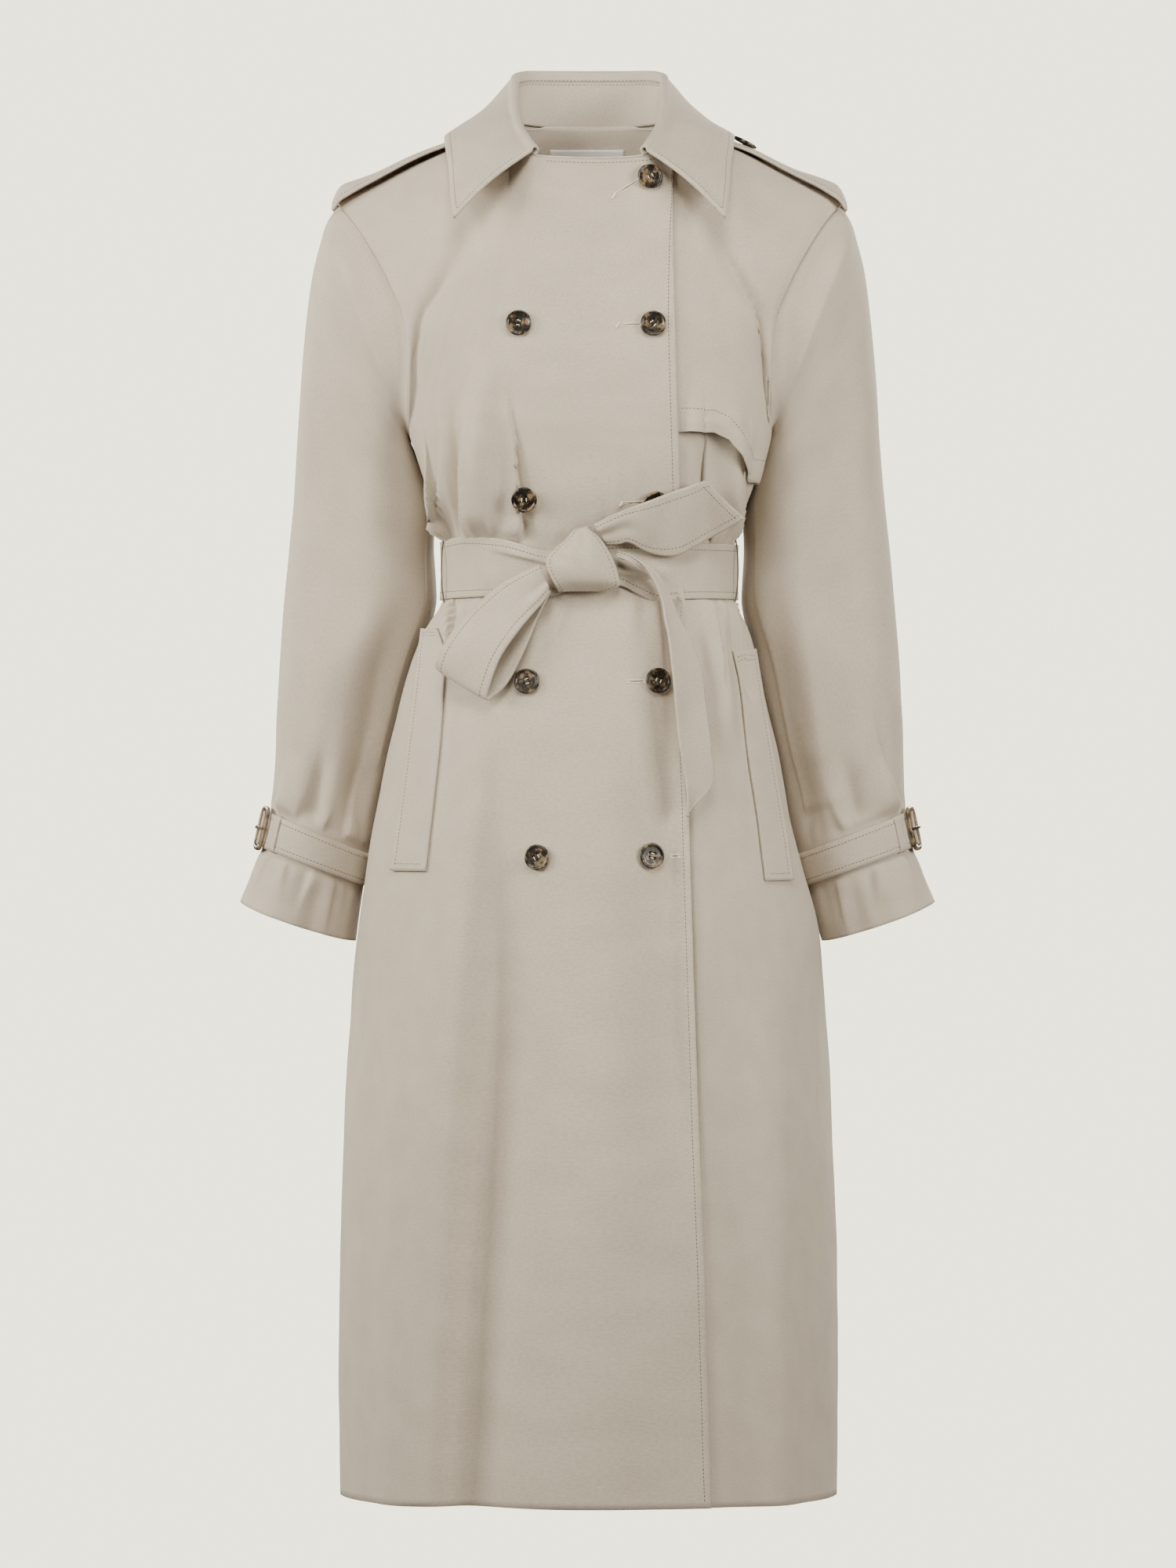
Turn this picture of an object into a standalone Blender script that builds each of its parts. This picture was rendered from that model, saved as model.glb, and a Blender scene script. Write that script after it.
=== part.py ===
"""A double-breasted trench coat, hollow as worn, with a tied belt.

Metres, +Z up, the front of the coat towards -Y. The origin is at the middle of
the neck opening, at the height where the shoulder seams meet the collar. The
wearer's right is at -X. Every cloth piece is an open surface given a wall by
Solidify; the panels share one torso surface, and what lies on them is that
surface moved out.
"""

import math
from collections import namedtuple

import bmesh
import bpy
import numpy as np
from mathutils import Matrix, Vector

# ------------------------------------------------------------ driving sizes
CLOTH = 0.0016  # wall of a single layer of coat cloth
DOUBLE_CLOTH = 0.0022  # belt, straps and collar, which are two layers
SEAM_GAP = 0.0003
SHOULDER_GAP = 0.0007  # a panel's wall leans back under the seam, so its edge stands off more
NECK_SEAM_GAP = 0.0008
LAYER_GAP = 0.0007  # between a piece and the panel that it lies on

HEM_Z = -1.224
ARMPIT_Z = -0.264
SHOULDER_TIP = (0.230, -0.050)  # x, z
NECK_POINT = (0.075, 0.026)  # x, z where the shoulder seam meets the neck
NECK_BACK = (0.058, 0.0225)  # y, z of the neckline at the centre back
COLLAR_END = (0.0493, -0.082, -0.013)  # where the collar ends on the front neckline
THROAT = (-0.087, -0.016)  # y, z of the neckline at the centre front
NECK_AT = 0.42  # the column that runs up to the neck point
COLLAR_END_AT = 0.22  # the column that runs up to the collar's end
ARMHOLE_FRONT = 0.058  # how far the armhole reaches forward and back
ARMHOLE_BACK = 0.078
ARMPIT_Y = -0.030

BELT_TOP_Z, BELT_BOTTOM_Z = -0.3575, -0.4105
BUTTON_SHANK = 0.0016
BUTTON_PROFILE = [(0, 0.0025), (0.0113, 0.0030), (0.0120, 0.0010), (0.0114, 0), (0, 0)]
BUCKLE_SIZE = (0.0415, 0.0300, 0.0034)  # across the strap, along it, thickness
BUCKLE_BAR = 0.0045
BUCKLE_ANGLE = {"right": 14.0, "left": 14.0}
KEEPER_ANGLE = {"right": 42.0, "left": 42.0}
STRAP_CLEAR = 0.0006
STRAP_OUT = 0.0038  # the strap's outer face above the sleeve
FACING = 0.0012
LABEL = 0.0008
LABEL_X = (-0.0372, 0.0322)
LABEL_Z = (0.0035, -0.0175)
WELT_CLEAR = 0.0016
BELT_STRAIGHT_X = 0.105
BELT_MIDDLE_OUT = 0.0022  # the band's middle row, which bridges the hollow of the waist

# ------------------------------------------------------------ tables
Section = namedtuple("Section", "z half_width shift front back square side_y")
TORSO = [
    Section(-1.224, 0.2258, -0.0009, 0.168, 0.176, 2.25, 0.000),
    Section(-1.080, 0.2272, -0.0010, 0.164, 0.172, 2.25, 0.000),
    Section(-0.936, 0.2239, -0.0010, 0.158, 0.166, 2.25, 0.000),
    Section(-0.800, 0.2171, -0.0010, 0.152, 0.160, 2.25, 0.000),
    Section(-0.721, 0.2109, -0.0007, 0.147, 0.154, 2.25, 0.000),
    Section(-0.650, 0.1975, -0.0045, 0.141, 0.146, 2.25, 0.000),
    Section(-0.607, 0.1880, -0.0060, 0.136, 0.139, 2.25, 0.000),
    Section(-0.550, 0.1775, -0.0060, 0.129, 0.130, 2.30, 0.000),
    Section(-0.493, 0.1635, -0.0055, 0.120, 0.117, 2.35, 0.000),
    Section(-0.438, 0.1470, -0.0030, 0.109, 0.100, 2.40, 0.000),
    Section(-0.411, 0.1328, -0.0005, 0.099, 0.087, 2.40, 0.000),
    Section(-0.384, 0.1303, 0.0000, 0.096, 0.083, 2.40, -0.002),
    Section(-0.357, 0.1330, 0.0000, 0.099, 0.086, 2.40, -0.010),
    Section(-0.307, 0.1490, 0.0000, 0.112, 0.098, 2.50, -0.026),
    Section(-0.264, 0.1630, 0.0000, 0.118, 0.104, 2.60, -0.030),
]
Yoke = namedtuple("Yoke", "rise edge_x front back")
SHOULDERS = [  # rise 0 is the armpit's height, 1 the shoulder seam
    Yoke(0.000, 0.163, 0.118, 0.104),
    Yoke(0.250, 0.164, 0.116, 0.107),
    Yoke(0.486, 0.168, 0.110, 0.105),
    Yoke(0.635, 0.180, 0.105, 0.099),
    Yoke(0.735, 0.191, 0.101, 0.093),
    Yoke(0.840, 0.204, 0.096, 0.084),
    Yoke(0.930, 0.217, 0.091, 0.072),
    Yoke(1.000, 0.230, 0.087, 0.058),
]
# A fold runs from its top to its bottom. Depth is outwards, or inwards if negative; lean moves
# the steep side towards +X; top and bottom are the shares of the depth that are left at its ends.
Fold = namedtuple("Fold", "side x_top z_top x_bottom z_bottom width depth lean top bottom")
FOLDS = [
    Fold("front", -0.106, -0.170, -0.095, -0.440, 0.018, 0.0080, 0.0, 0.0, 0.2),
    Fold("front", -0.0836, -0.200, -0.0740, -0.360, 0.010, -0.0050, 0.0, 0.0, 0.5),
    Fold("front", -0.124, -0.215, -0.113, -0.370, 0.009, -0.0042, 0.0, 0.0, 0.4),
    Fold("front", -0.146, -0.270, -0.126, -0.370, 0.010, 0.0050, 0.0, 0.0, 0.4),
    Fold("front", 0.112, -0.250, 0.108, -0.370, 0.011, -0.0055, 0.0, 0.2, 0.4),
    Fold("front", 0.132, -0.250, 0.124, -0.370, 0.010, 0.0055, 0.0, 0.2, 0.4),
    Fold("front", -0.108, -0.400, -0.120, -0.500, 0.012, -0.0050, 0.0, 0.3, 0.0),
    Fold("front", 0.094, -0.400, 0.108, -0.600, 0.013, -0.0060, 0.0, 0.4, 0.0),
    Fold("front", 0.110, -0.400, 0.128, -0.560, 0.012, 0.0050, 0.0, 0.4, 0.0),
    Fold("front", 0.122, -0.400, 0.150, -0.520, 0.010, -0.0045, 0.0, 0.4, 0.0),
    Fold("front", -0.100, -0.500, -0.098, -1.224, 0.038, -0.0120, 0.0, 0.0, 0.9),
    Fold("front", -0.160, -0.640, -0.170, -1.224, 0.036, 0.0080, 0.0, 0.0, 1.0),
    Fold("front", 0.060, -0.420, 0.076, -0.940, 0.032, -0.0080, 0.0, 0.2, 0.0),
    Fold("front", 0.160, -0.640, 0.168, -1.224, 0.034, 0.0085, 0.0, 0.0, 1.0),
    Fold("front", -0.010, -0.700, -0.010, -1.224, 0.050, 0.0065, 0.0, 0.0, 0.9),
    Fold("back", -0.110, -0.280, -0.085, -0.370, 0.013, 0.0050, 0.0, 0.0, 0.4),
    Fold("back", -0.060, -0.240, -0.052, -0.370, 0.013, -0.0050, 0.0, 0.0, 0.4),
    Fold("back", -0.020, -0.230, -0.018, -0.370, 0.014, 0.0055, 0.0, 0.0, 0.4),
    Fold("back", 0.028, -0.240, 0.022, -0.370, 0.014, -0.0050, 0.0, 0.0, 0.4),
    Fold("back", 0.074, -0.260, 0.062, -0.370, 0.013, 0.0050, 0.0, 0.0, 0.4),
    Fold("back", 0.122, -0.290, 0.100, -0.370, 0.012, -0.0045, 0.0, 0.0, 0.4),
    Fold("back", -0.084, -0.400, -0.120, -0.620, 0.018, -0.0065, 0.0, 0.4, 0.0),
    Fold("back", -0.030, -0.400, -0.046, -0.700, 0.020, 0.0060, 0.0, 0.4, 0.0),
    Fold("back", 0.024, -0.400, 0.036, -0.660, 0.020, -0.0065, 0.0, 0.4, 0.0),
    Fold("back", 0.078, -0.400, 0.112, -0.640, 0.018, 0.0060, 0.0, 0.4, 0.0),
    Fold("back", -0.130, -0.600, -0.150, -1.224, 0.040, 0.0110, 0.0, 0.0, 1.0),
    Fold("back", -0.040, -0.640, -0.048, -1.224, 0.040, -0.0110, 0.0, 0.0, 1.0),
    Fold("back", 0.056, -0.620, 0.064, -1.224, 0.040, 0.0110, 0.0, 0.0, 1.0),
    Fold("back", 0.150, -0.640, 0.166, -1.224, 0.034, -0.0085, 0.0, 0.0, 1.0),
]
# The edge of the right front, which lies over the left one.
FRONT_EDGE_X = [(-1.224, 0.1068), (-0.620, 0.0892), (-0.300, 0.0795), (-0.010, 0.0725)]
UNDERLAP_X = -0.088

Ring = namedtuple("Ring", "outer_x outer_z inner_x inner_z y depth")
SLEEVE_RINGS = [  # below the armhole, down to the cuff's edge
    Ring(0.2415, -0.076, 0.1655, -0.272, 0.000, 0.075),
    Ring(0.2500, -0.110, 0.1620, -0.281, 0.009, 0.077),
    Ring(0.2560, -0.155, 0.1550, -0.293, 0.018, 0.078),
    Ring(0.2612, -0.207, 0.1485, -0.310, 0.026, 0.077),
    Ring(0.2655, -0.264, 0.1435, -0.332, 0.032, 0.074),
    Ring(0.2710, -0.329, 0.1415, -0.364, 0.036, 0.070),
    Ring(0.2785, -0.400, 0.1400, -0.407, 0.039, 0.066),
    Ring(0.2845, -0.471, 0.1585, -0.468, 0.042, 0.062),
    Ring(0.2878, -0.543, 0.1830, -0.560, 0.048, 0.055),
    Ring(0.2890, -0.580, 0.1965, -0.612, 0.050, 0.051),
    Ring(0.2900, -0.603, 0.2015, -0.641, 0.050, 0.047),
    Ring(0.2970, -0.638, 0.2075, -0.673, 0.050, 0.047),
    Ring(0.3065, -0.662, 0.2110, -0.697, 0.050, 0.050),
    Ring(0.3165, -0.686, 0.2145, -0.7215, 0.050, 0.054),
]
# How the two sleeves differ from the rings: the right one's outer side and the left one's inner.
Uneven = namedtuple("Uneven", "ring right_outer left_inner")
SLEEVE_UNEVEN = [
    Uneven(1, 0.0010, 0.0),
    Uneven(3, 0.0010, 0.0),
    Uneven(7, 0.0, -0.0008),
    Uneven(8, 0.0, -0.0055),
    Uneven(9, 0.0, -0.0110),
    Uneven(10, 0.0010, -0.0130),
    Uneven(11, 0.0025, -0.0118),
    Uneven(12, 0.0036, -0.0080),
    Uneven(13, 0.0040, -0.0058),
    Uneven(14, 0.0043, -0.0016),
]
CUFF_DROP = 0.0042  # how much lower the cuff's edge hangs in front
SLEEVE_COLUMNS = 28
HEAD_GAP = 0.0008
STRAP_FROM, STRAP_TO = 11, 12  # the strap lies between these rings, the armhole being 0
# A fold on a sleeve keeps to an angle round it: 0 outside, 90 in front, 180 against the body.
SleeveFold = namedtuple("SleeveFold", "angle_top angle_bottom ring_top ring_bottom width depth")
SLEEVE_FOLDS = [
    SleeveFold(62, 80, 3.0, 8.5, 24, -0.0070),
    SleeveFold(20, 30, 1.0, 6.0, 22, 0.0040),
    SleeveFold(120, 130, 6.0, 10.8, 16, -0.0060),
    SleeveFold(84, 76, 8.6, 11.0, 12, -0.0060),
    SleeveFold(50, 44, 9.0, 11.0, 12, 0.0045),
    SleeveFold(66, 60, 12.0, 14.0, 13, 0.0040),
    SleeveFold(100, 104, 12.0, 14.0, 13, -0.0045),
    SleeveFold(250, 240, 4.0, 9.0, 24, -0.0060),
    SleeveFold(300, 296, 8.6, 11.0, 15, -0.0050),
    SleeveFold(220, 216, 9.0, 11.0, 14, 0.0045),
    SleeveFold(280, 285, 12.0, 14.0, 15, 0.0040),
]

Collar = namedtuple("Collar", "at roll_x roll_y roll_z edge_x edge_y edge_z crown")
COLLAR = [  # from the centre back, 0, to the front end, 1
    Collar(0.00, 0.0000, 0.0665, 0.0770, 0.0000, 0.0960, 0.0040, 0.004),
    Collar(0.22, 0.0520, 0.0620, 0.0770, 0.0740, 0.0930, 0.0040, 0.004),
    Collar(0.42, 0.0685, 0.0400, 0.0715, 0.1190, 0.0580, 0.0040, 0.003),
    Collar(0.60, 0.0685, 0.0030, 0.0470, 0.1310, 0.0040, 0.0120, 0.003),
    Collar(0.70, 0.0665, -0.0190, 0.0330, 0.1315, -0.0260, 0.0045, 0.004),
    Collar(0.80, 0.0625, -0.0430, 0.0190, 0.1285, -0.0580, -0.0190, 0.005),
    Collar(1.00, 0.0490, -0.0860, -0.0040, 0.1230, -0.1215, -0.0700, 0.003),
]
COLLAR_FOLD = 0.0042  # from the stand's wall to the fall's, at the roll
STAND_SHARE = 0.80  # how far up the stand its seam with the collar lies
FALL_ROWS = np.linspace(0, 1, 6)

# The two edges of a length of belt: x, z, and the distance in front of the coat, of each.
Rung = namedtuple("Rung", "ax az a_out bx bz b_out")
BOW_LOOP = [  # out of the knot, down to the fold at the lower left and back behind
    Rung(-0.0440, -0.3815, 0.0190, -0.0360, -0.4060, 0.0180),
    Rung(-0.0600, -0.3890, 0.0225, -0.0420, -0.4160, 0.0205),
    Rung(-0.0813, -0.4006, 0.0230, -0.0540, -0.4290, 0.0215),
    Rung(-0.1093, -0.4244, 0.0230, -0.0660, -0.4440, 0.0225),
    Rung(-0.1303, -0.4525, 0.0210, -0.0800, -0.4650, 0.0225),
    Rung(-0.1373, -0.4665, 0.0180, -0.0880, -0.4850, 0.0215),
    Rung(-0.1385, -0.4755, 0.0120, -0.0925, -0.5020, 0.0160),
    Rung(-0.1330, -0.4760, 0.0072, -0.0870, -0.5010, 0.0090),
    Rung(-0.1200, -0.4660, 0.0060, -0.0720, -0.4860, 0.0065),
    Rung(-0.0980, -0.4440, 0.0060, -0.0565, -0.4560, 0.0065),
    Rung(-0.0700, -0.4180, 0.0078, -0.0450, -0.4270, 0.0078),
    Rung(-0.0440, -0.3960, 0.0100, -0.0345, -0.4060, 0.0100),
]
END_UP = [  # the end that points up to the right
    Rung(0.0060, -0.3500, 0.0185, 0.0190, -0.3640, 0.0170),
    Rung(0.0308, -0.3348, 0.0190, 0.0330, -0.3625, 0.0150),
    Rung(0.0460, -0.3290, 0.0190, 0.0450, -0.3680, 0.0130),
    Rung(0.0640, -0.3220, 0.0185, 0.0640, -0.3745, 0.0160),
    Rung(0.0850, -0.3145, 0.0175, 0.0900, -0.3700, 0.0170),
    Rung(0.1010, -0.3085, 0.0165, 0.1180, -0.3535, 0.0165),
    Rung(0.1037, -0.3074, 0.0160, 0.1395, -0.3403, 0.0160),
]
END_DOWN = [  # the end that hangs
    Rung(0.0290, -0.3730, 0.0160, 0.0270, -0.3880, 0.0120),
    Rung(0.0430, -0.3750, 0.0215, 0.0420, -0.3930, 0.0110),
    Rung(0.0561, -0.3880, 0.0255, 0.0620, -0.4040, 0.0120),
    Rung(0.0660, -0.4105, 0.0270, 0.0785, -0.4200, 0.0130),
    Rung(0.0705, -0.4385, 0.0265, 0.0860, -0.4410, 0.0120),
    Rung(0.0729, -0.4665, 0.0255, 0.0940, -0.4660, 0.0110),
    Rung(0.0771, -0.5086, 0.0235, 0.1030, -0.5060, 0.0100),
    Rung(0.0813, -0.5506, 0.0200, 0.1080, -0.5500, 0.0095),
    Rung(0.0855, -0.5786, 0.0170, 0.1095, -0.5786, 0.0095),
    Rung(0.0869, -0.6080, 0.0140, 0.0890, -0.6050, 0.0135),
]
KNOT_CENTRE = (-0.0065, -0.3768, 0.0195)  # x, z and the distance in front of the coat
KNOT_HALF = (0.0330, 0.0125, 0.0325)
KNOT_LEAN = 0.30  # how far the knot leans over, across for each metre down

Pocket = namedtuple("Pocket", "x_top x_bottom z_top z_bottom turn width")
POCKETS = {  # the outer edge of each welt, and its width along the cloth
    "pocket_welt_right": Pocket(-0.1490, -0.1765, -0.4390, -0.6570, 1, 0.045),
    "pocket_welt_left": Pocket(0.1470, 0.1805, -0.4570, -0.6660, -1, 0.042),
}
Edge = namedtuple("Edge", "x z")
FLAP_BOTTOM = [  # the storm flap's lower edge
    Edge(0.060, -0.2640),
    Edge(0.090, -0.2625),
    Edge(0.108, -0.2640),
    Edge(0.122, -0.2700),
    Edge(0.136, -0.2850),
    Edge(0.146, -0.3070),
]
FLAP_SHOULDER_SHARE = 0.12  # of the last row, left free at the shoulder seam
FLAP_EDGE_GAP = 0.0010
FLAP_CLEAR = 0.0015
FLAP_ARMHOLE_GAP = 0.0045

# Shares along an epaulette from its point, near the neck, to its end, at the sleeve.
Strap = namedtuple("Strap", "along half_width lift wrap point")
EPAULETTE = [
    Strap(0.00, 0.0190, 0.0062, 1.0, 0.014),
    Strap(0.20, 0.0196, 0.0080, 0.9, 0.000),
    Strap(0.32, 0.0200, 0.0096, 0.9, 0.000),
    Strap(0.65, 0.0226, 0.0112, 1.1, 0.000),
    Strap(0.80, 0.0245, 0.0134, 1.4, 0.000),
    Strap(0.92, 0.0260, 0.0148, 1.7, 0.000),
    Strap(0.97, 0.0266, 0.0122, 1.5, 0.000),
    Strap(1.00, 0.0270, 0.0050, 1.1, 0.000),
]
EPAULETTE_FROM, EPAULETTE_TO = 0.105, 0.2342
EPAULETTE_DROP = 0.0046  # how much lower the strap lies 25 mm from its middle

Button = namedtuple("Button", "name x z")
FRONT_BUTTONS = [
    Button("button_throat", 0.0536, -0.0330),
    Button("button_chest_right", -0.0634, -0.1655),
    Button("button_chest_left", 0.0570, -0.1665),
    Button("button_waist_right", -0.0584, -0.3220),
    Button("button_waist_left", 0.0591, -0.3255),
    Button("button_hip_right", -0.0562, -0.4865),
    Button("button_hip_left", 0.0604, -0.4860),
    Button("button_skirt_right", -0.0476, -0.6430),
    Button("button_skirt_left", 0.0567, -0.6415),
]
EPAULETTE_BUTTON_X = {"right": 0.1080, "left": 0.1410}
EPAULETTE_BUTTON_Y = {"right": 0.0050, "left": 0.0}

Finish = namedtuple("Finish", "red green blue roughness metallic")
FINISHES = {
    "coat_cloth": Finish(0.50, 0.45, 0.38, 0.85, 0.0),
    "label_cloth": Finish(0.85, 0.78, 0.78, 0.70, 0.0),
    "horn": Finish(0.12, 0.08, 0.04, 0.30, 0.0),
}


# ------------------------------------------------------------ interpolation
def smooth(xs, ys, at):
    """Values at `at` on a smooth curve through the points, which never overshoots them."""
    xs = np.asarray(xs, float)
    ys = np.asarray(ys, float)
    step = np.diff(xs)
    slope = np.diff(ys) / step
    tangent = np.empty_like(ys)
    tangent[0], tangent[-1] = slope[0], slope[-1]
    product = slope[:-1] * slope[1:]
    total = slope[:-1] + slope[1:]
    tangent[1:-1] = np.where(product > 0, 2 * product / np.where(total == 0, 1, total), 0)
    at = np.clip(np.asarray(at, float), xs[0], xs[-1])
    k = np.clip(np.searchsorted(xs, at, side="right") - 1, 0, len(xs) - 2)
    t = (at - xs[k]) / step[k]
    start = (1 + 2 * t) * (1 - t) ** 2 * ys[k] + t * (1 - t) ** 2 * step[k] * tangent[k]
    end = t * t * (3 - 2 * t) * ys[k + 1] + t * t * (t - 1) * step[k] * tangent[k + 1]
    return start + end


def read(rows, column, at):
    """A column of a table whose first column is the place, read at `at`."""
    return smooth([row[0] for row in rows], [getattr(row, column) for row in rows], at)


def ease(x):
    x = np.clip(x, 0, 1)
    return x * x * (3 - 2 * x)


def through(points, count):
    """`count` points spaced evenly along a Catmull-Rom curve through the given points."""
    points = np.asarray(points, float)
    ends = [2 * points[0] - points[1], *points, 2 * points[-1] - points[-2]]
    fine = []
    for p0, p1, p2, p3 in zip(ends, ends[1:], ends[2:], ends[3:]):
        t = np.linspace(0, 1, 16, endpoint=False)[:, None]
        fine.append(
            0.5
            * (
                2 * p1
                + (p2 - p0) * t
                + (2 * p0 - 5 * p1 + 4 * p2 - p3) * t**2
                + (3 * p1 - p0 - 3 * p2 + p3) * t**3
            )
        )
    fine = np.vstack([*fine, points[-1:]])
    length = np.concatenate([[0], np.cumsum(np.linalg.norm(np.diff(fine, axis=0), axis=1))])
    at = np.linspace(0, length[-1], count)
    return np.stack([np.interp(at, length, fine[:, k]) for k in range(fine.shape[1])], axis=1)


# ------------------------------------------------------------ the torso's surface
def neckline(side, s):
    """Where the columns end at the top: on the shoulder seam or on the neckline."""
    s = np.abs(s)
    out = np.clip((s - NECK_AT) / (1 - NECK_AT), 0, 1)
    shoulder = [
        NECK_POINT[0] + (SHOULDER_TIP[0] - NECK_POINT[0]) * out,
        np.zeros_like(s),
        NECK_POINT[1] + (SHOULDER_TIP[1] - NECK_POINT[1]) * out,
    ]
    if side == "back":
        turn = np.clip(s / NECK_AT, 0, 1) * math.pi / 2
        neck = [
            NECK_POINT[0] * np.sin(turn),
            NECK_BACK[0] * np.cos(turn),
            NECK_BACK[1] + (NECK_POINT[1] - NECK_BACK[1]) * (1 - np.cos(turn)),
        ]
    else:
        turn = np.clip((s - COLLAR_END_AT) / (NECK_AT - COLLAR_END_AT), 0, 1) * math.pi / 2
        near = np.clip(s / COLLAR_END_AT, 0, 1)
        neck = [
            COLLAR_END[0] * near + (NECK_POINT[0] - COLLAR_END[0]) * np.sin(turn),
            (THROAT[0] + (COLLAR_END[1] - THROAT[0]) * near**2) * np.cos(turn),
            THROAT[1]
            + (COLLAR_END[2] - THROAT[1]) * near**2
            + (NECK_POINT[1] - COLLAR_END[2]) * (1 - np.cos(turn)),
        ]
    return [np.where(s < NECK_AT, n, h) for n, h in zip(neck, shoulder)]


def torso_base(side, s, t):
    """The torso before its folds. s is -1 to 1 from the right side seam to the left one;
    t is -1 at the hem, 0 at the armpit and 1 at the shoulder seam and neckline."""
    s, t = np.broadcast_arrays(np.asarray(s, float), np.asarray(t, float))
    sign = -1.0 if side == "front" else 1.0
    z = ARMPIT_Z + np.minimum(t, 0) * (ARMPIT_Z - HEM_Z)
    square = read(TORSO, "square", z)
    across = np.sign(s) * np.abs(np.sin(s * math.pi / 2)) ** (2 / square)
    toward = np.abs(np.cos(s * math.pi / 2)) ** (2 / square)
    side_y = read(TORSO, "side_y", z)
    x_low = read(TORSO, "shift", z) + read(TORSO, "half_width", z) * across
    y_low = side_y + (sign * read(TORSO, side, z) - side_y) * toward

    rise = np.clip(t, 0, 1)
    top_x, top_y, top_z = neckline(side, s)
    edge = read(SHOULDERS, "edge_x", rise)
    mix = ease(rise)
    x_high = edge * ((1 - mix) * across + mix * np.sign(s) * top_x / SHOULDER_TIP[0])
    cap = np.sqrt(1 - np.minimum(rise, 0.9999) ** 4)
    reach = ARMHOLE_FRONT if side == "front" else ARMHOLE_BACK
    hole = 2 * np.sqrt(rise * (1 - rise))
    rim = (sign * reach * hole + ARMPIT_Y * (1 - rise)) / cap
    wall = rim + (sign * read(SHOULDERS, side, rise) - rim) * toward
    y_high = top_y + (wall - top_y) * np.sqrt(1 - rise**4)
    z_high = ARMPIT_Z + (top_z - ARMPIT_Z) * rise
    high = t > 0
    return np.stack(
        [np.where(high, x_high, x_low), np.where(high, y_high, y_low), np.where(high, z_high, z)],
        axis=-1,
    )


def torso_normal(side, s, t):
    step = 1e-3
    along_s = torso_base(side, np.minimum(s + step, 1), t) - torso_base(side, np.maximum(s - step, -1), t)
    along_t = torso_base(side, s, np.minimum(t + step, 1)) - torso_base(side, s, np.maximum(t - step, -1))
    normal = np.cross(along_s, along_t) * (1 if side == "front" else -1)
    return normal / np.maximum(np.linalg.norm(normal, axis=-1, keepdims=True), 1e-12)


def column_of(x, z):
    """The column s whose surface lies at x, at the height z."""
    width = np.where(
        z > ARMPIT_Z,
        read(SHOULDERS, "edge_x", (z - ARMPIT_Z) / (SHOULDER_TIP[1] - ARMPIT_Z)),
        read(TORSO, "half_width", z),
    )
    share = (x - read(TORSO, "shift", z)) / width
    return np.sign(share) * np.arcsin(
        np.clip(np.abs(share), 0, 0.995) ** (read(TORSO, "square", z) / 2)
    ) * 2 / math.pi


def fold_height(side, s, z):
    """How far the folds lift the cloth off the torso's surface."""
    total = np.zeros(np.broadcast(s, z).shape)
    around = (read(TORSO, "half_width", z) + read(TORSO, side, z)) * math.pi / 4
    for fold in FOLDS:
        if fold.side != side:
            continue
        down = (fold.z_top - z) / (fold.z_top - fold.z_bottom)
        x = fold.x_top + (fold.x_bottom - fold.x_top) * np.clip(down, 0, 1)
        off = (s - column_of(x, z)) * around / fold.width
        off = off / (1 + fold.lean * np.tanh(off * 3))
        start = fold.top + (1 - fold.top) * ease(down / 0.5)
        stop = fold.bottom + (1 - fold.bottom) * ease((1 - down) / 0.35)
        inside = ease((down + 0.10) / 0.10) * ease((1.10 - down) / 0.10)
        if fold.z_bottom <= HEM_Z:
            inside = ease((down + 0.10) / 0.10)
        total = total + fold.depth * np.minimum(start, stop) * inside * np.exp(-off * off)
    held = ease((np.abs(z - (BELT_TOP_Z + BELT_BOTTOM_Z) / 2) - 0.027) / 0.026)
    return total * (0.12 + 0.88 * held)


def torso(side, s, t, out=0.0):
    """Points of the torso's cloth, moved out along its normals, and the normals."""
    s, t = np.broadcast_arrays(np.asarray(s, float), np.asarray(t, float))
    base = torso_base(side, s, t)
    normal = torso_normal(side, s, t)
    lift = fold_height(side, s, base[..., 2]) + out
    return base + normal * lift[..., None], normal


def grid_normals(points, side):
    """The normals of a panel's grid as its facets have them, outwards."""
    one = points[:-1, 1:] - points[1:, :-1]
    two = points[1:, 1:] - points[:-1, :-1]
    face = np.cross(one, two)
    face /= np.maximum(np.linalg.norm(face, axis=-1, keepdims=True), 1e-12)
    total = np.zeros_like(points)
    total[:-1, :-1] += face
    total[:-1, 1:] += face
    total[1:, :-1] += face
    total[1:, 1:] += face
    total /= np.maximum(np.linalg.norm(total, axis=-1, keepdims=True), 1e-12)
    middle = total[total.shape[0] // 2, total.shape[1] // 2]
    return total * (-1 if (middle[1] > 0) == (side == "front") else 1)


def front_edge_column(t):
    """The column along which the right front's edge runs."""
    s = np.linspace(0, 0.9, 240)
    t = np.asarray(t, float)
    base = torso_base("front", s[None, :], t.reshape(-1, 1))
    off = base[..., 0] - np.interp(base[..., 2], *zip(*FRONT_EDGE_X))
    found = [np.interp(0, row, s) for row in off]
    return np.array(found).reshape(t.shape)


def height(z):
    """The t of a height below the armpit."""
    return (z - ARMPIT_Z) / (ARMPIT_Z - HEM_Z)


# ------------------------------------------------------------ making objects
def material(name):
    finish = FINISHES[name]
    made = bpy.data.materials.get(name)
    if made is None:
        made = bpy.data.materials.new(name)
        made.use_nodes = True
        shader = made.node_tree.nodes["Principled BSDF"]
        shader.inputs["Base Color"].default_value = (*finish[:3], 1)
        shader.inputs["Roughness"].default_value = finish.roughness
        shader.inputs["Metallic"].default_value = finish.metallic
    return made


def add_object(name, data, finish="coat_cloth"):
    made = bpy.data.objects.new(name, data)
    COAT.objects.link(made)
    data.materials.append(material(finish))
    return made


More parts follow.
